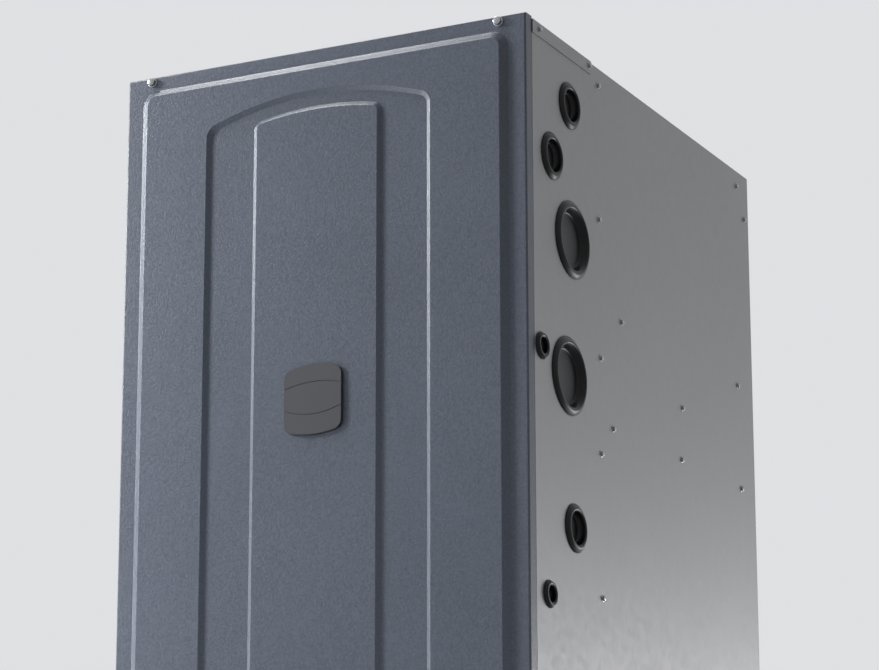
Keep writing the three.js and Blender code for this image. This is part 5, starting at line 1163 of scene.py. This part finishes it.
dark = bmesh.new()
for number in range(3):
    left = BOARD_LEFT + 14.0 + number * 26.0
    on_card(dark, (left, left + 22.0), (330.0, 356.0), 18.0)
on_card(dark, (-26.0, 116.0), (247.0, 261.0), 11.0)
on_card(dark, (-12.0, 20.0), (282.0, 314.0), 3.0, 0.4)
for number in range(4):
    on_card(dark, around(52.0 + number * 9.0, 2.4), around(292.0, 2.2), 2.0, 0.3)
add_piece("board_relays", dark, "black_plastic", "cabinet")
pale = bmesh.new()
for foot in (274.0, 308.0):
    on_card(pale, (96.0, 116.0), (foot, foot + 26.0), 12.0)
for number in range(6):
    on_card(pale, around(40.0 + number * 8.0, 2.6), around(272.0, 3.6), 4.0, 0.4)
add_piece("board_sockets", pale, "white_plastic", "cabinet")
shiny = bmesh.new()
for number in range(9):
    spun(shiny, [(0.0, 0.0), (4.0, 0.0), (4.0, 1.2), (3.2, 1.9), (0.0, 1.9)], "-y",
         (-18.0 + number * 15.6, BOARD_FACE - 11.0, 254.0), 20, 0.2)
for x, z, size, tall in ((46.0, 318.0, 6.5, 20.0), (64.0, 318.0, 6.5, 20.0), (80.0, 343.0, 4.5, 12.0)):
    spun(shiny, [(0.0, 0.0), (size, 0.0), (size, tall), (0.0, tall)], "-y", (x, BOARD_FACE, z), 32, 0.6)
for x in (BOARD_LEFT + 7.0, BOARD_RIGHT - 7.0):
    for z in (BOARD_LOW + 7.0 if x > 0 else BOARD_LOW + 7.0, BOARD_HIGH - 7.0):
        spun(shiny, [(0.0, 0.0), (3.0, 0.0), (3.0, 11.6), (2.2, 13.2), (0.0, 13.2)], "-y", (x, 189.7, z), 20)
add_piece("board_cans", shiny, "zinc", "cabinet")
fuse = bmesh.new()
on_card(fuse, (24.0, 33.0), (286.0, 305.0), 9.0)
add_piece("board_fuse", fuse, "red_plastic", "cabinet")

CORE = (165.0, 148.0)
core = bmesh.new()
for number in range(14):
    front = 154.7 + number * 2.45
    eased_box(core, around(CORE[0], 33.0), (front, front + 2.2), around(CORE[1], 28.0), 0.4, 1)
eased_box(core, around(CORE[0], 45.0), (188.5, 189.7), around(CORE[1], 20.0), 0.5)
add_piece("transformer_core", core, "black_steel", "cabinet", ["transformer"])
coil = bmesh.new()
eased_box(coil, around(CORE[0], 21.0), (139.7, 186.0), around(CORE[1], 35.0), 5.0, 4)
add_piece("transformer_coil", coil, "rubber", "cabinet")
feet = bmesh.new()
for x in (-39.5, 39.5):
    hex_screw(feet, "-y", (CORE[0] + x, 188.5, CORE[1]), 5.6, 2.4, 4.0, 0.7, x)
add_piece("transformer_screws", feet, "zinc", "cabinet")

PLUNGER = (252.4, 436.0)
body = bmesh.new()
eased_box(body, around(PLUNGER[0], 7.0), (23.0, 48.9), around(PLUNGER[1], 11.0), 1.0)
spun(body, [(3.5, 0.0), (6.6, 0.0), (6.6, 4.3), (3.5, 4.3), (3.5, 0.0)], "y", (PLUNGER[0], 18.9, PLUNGER[1]), 32, 0.4)
add_piece("switch_case", body, "black_plastic", "cabinet", ["door_switch"])
tip = bmesh.new()
spun(tip, [(0.0, 0.0), (1.4, 0.1), (2.4, 0.5), (2.9, 1.4), (2.9, 12.0), (0.0, 12.0)], "y",
     (PLUNGER[0], 17.3, PLUNGER[1]), 28)
add_piece("switch_tip", tip, "white_plastic", "switch_plunger", ["door_switch_plunger"])

# %% [markdown]
# ## Sheet metal screws inside, and the pad in the door
# Screws hold the blower door and the vestibule panel to the wrapper. The pad in the door is
# fibre with a foil face; its edges are soft.

# %% Inside screws and the door's pad
inside = bmesh.new()
for sign in (-1, 1):
    for z in (52.0, 214.0, 384.0, 428.0, 590.0, 724.0):
        hex_screw(inside, "-y", (sign * 254.0, 190.0, z), 5.6, 2.4, 4.0, 0.7, z)
for x in (-150.0, 0.0, 150.0):
    hex_screw(inside, "-y", (x, 190.0, 396.0), 5.6, 2.4, 4.0, 0.7, x)
add_piece("panel_screws", inside, "zinc", "cabinet")

pad = bmesh.new()
eased_box(pad, around(0.0, 246.7), (1.3, 7.3), (28.0, 843.6), 2.4, 4)
add_piece("foil_pad", pad, "foil", "door", ["door_insulation"])

# %% [markdown]
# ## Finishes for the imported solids
# Folded sheets already have their real shape, so they stay as they are and only change their
# material for the finish of their slot.

# %% Paint what stays
slot_of = {part["node"]: part["material_slot"] for part in frame["record"]["subparts"]}
for node, solid in frame["nodes"].items():
    if not solid.material_slots:
        solid.data.materials.append(None)
    for place in solid.material_slots:
        place.material = FINISHES[slot_of[node]]
print("CAD nodes that show:", sum(not solid.hide_render for solid in frame["nodes"].values()))
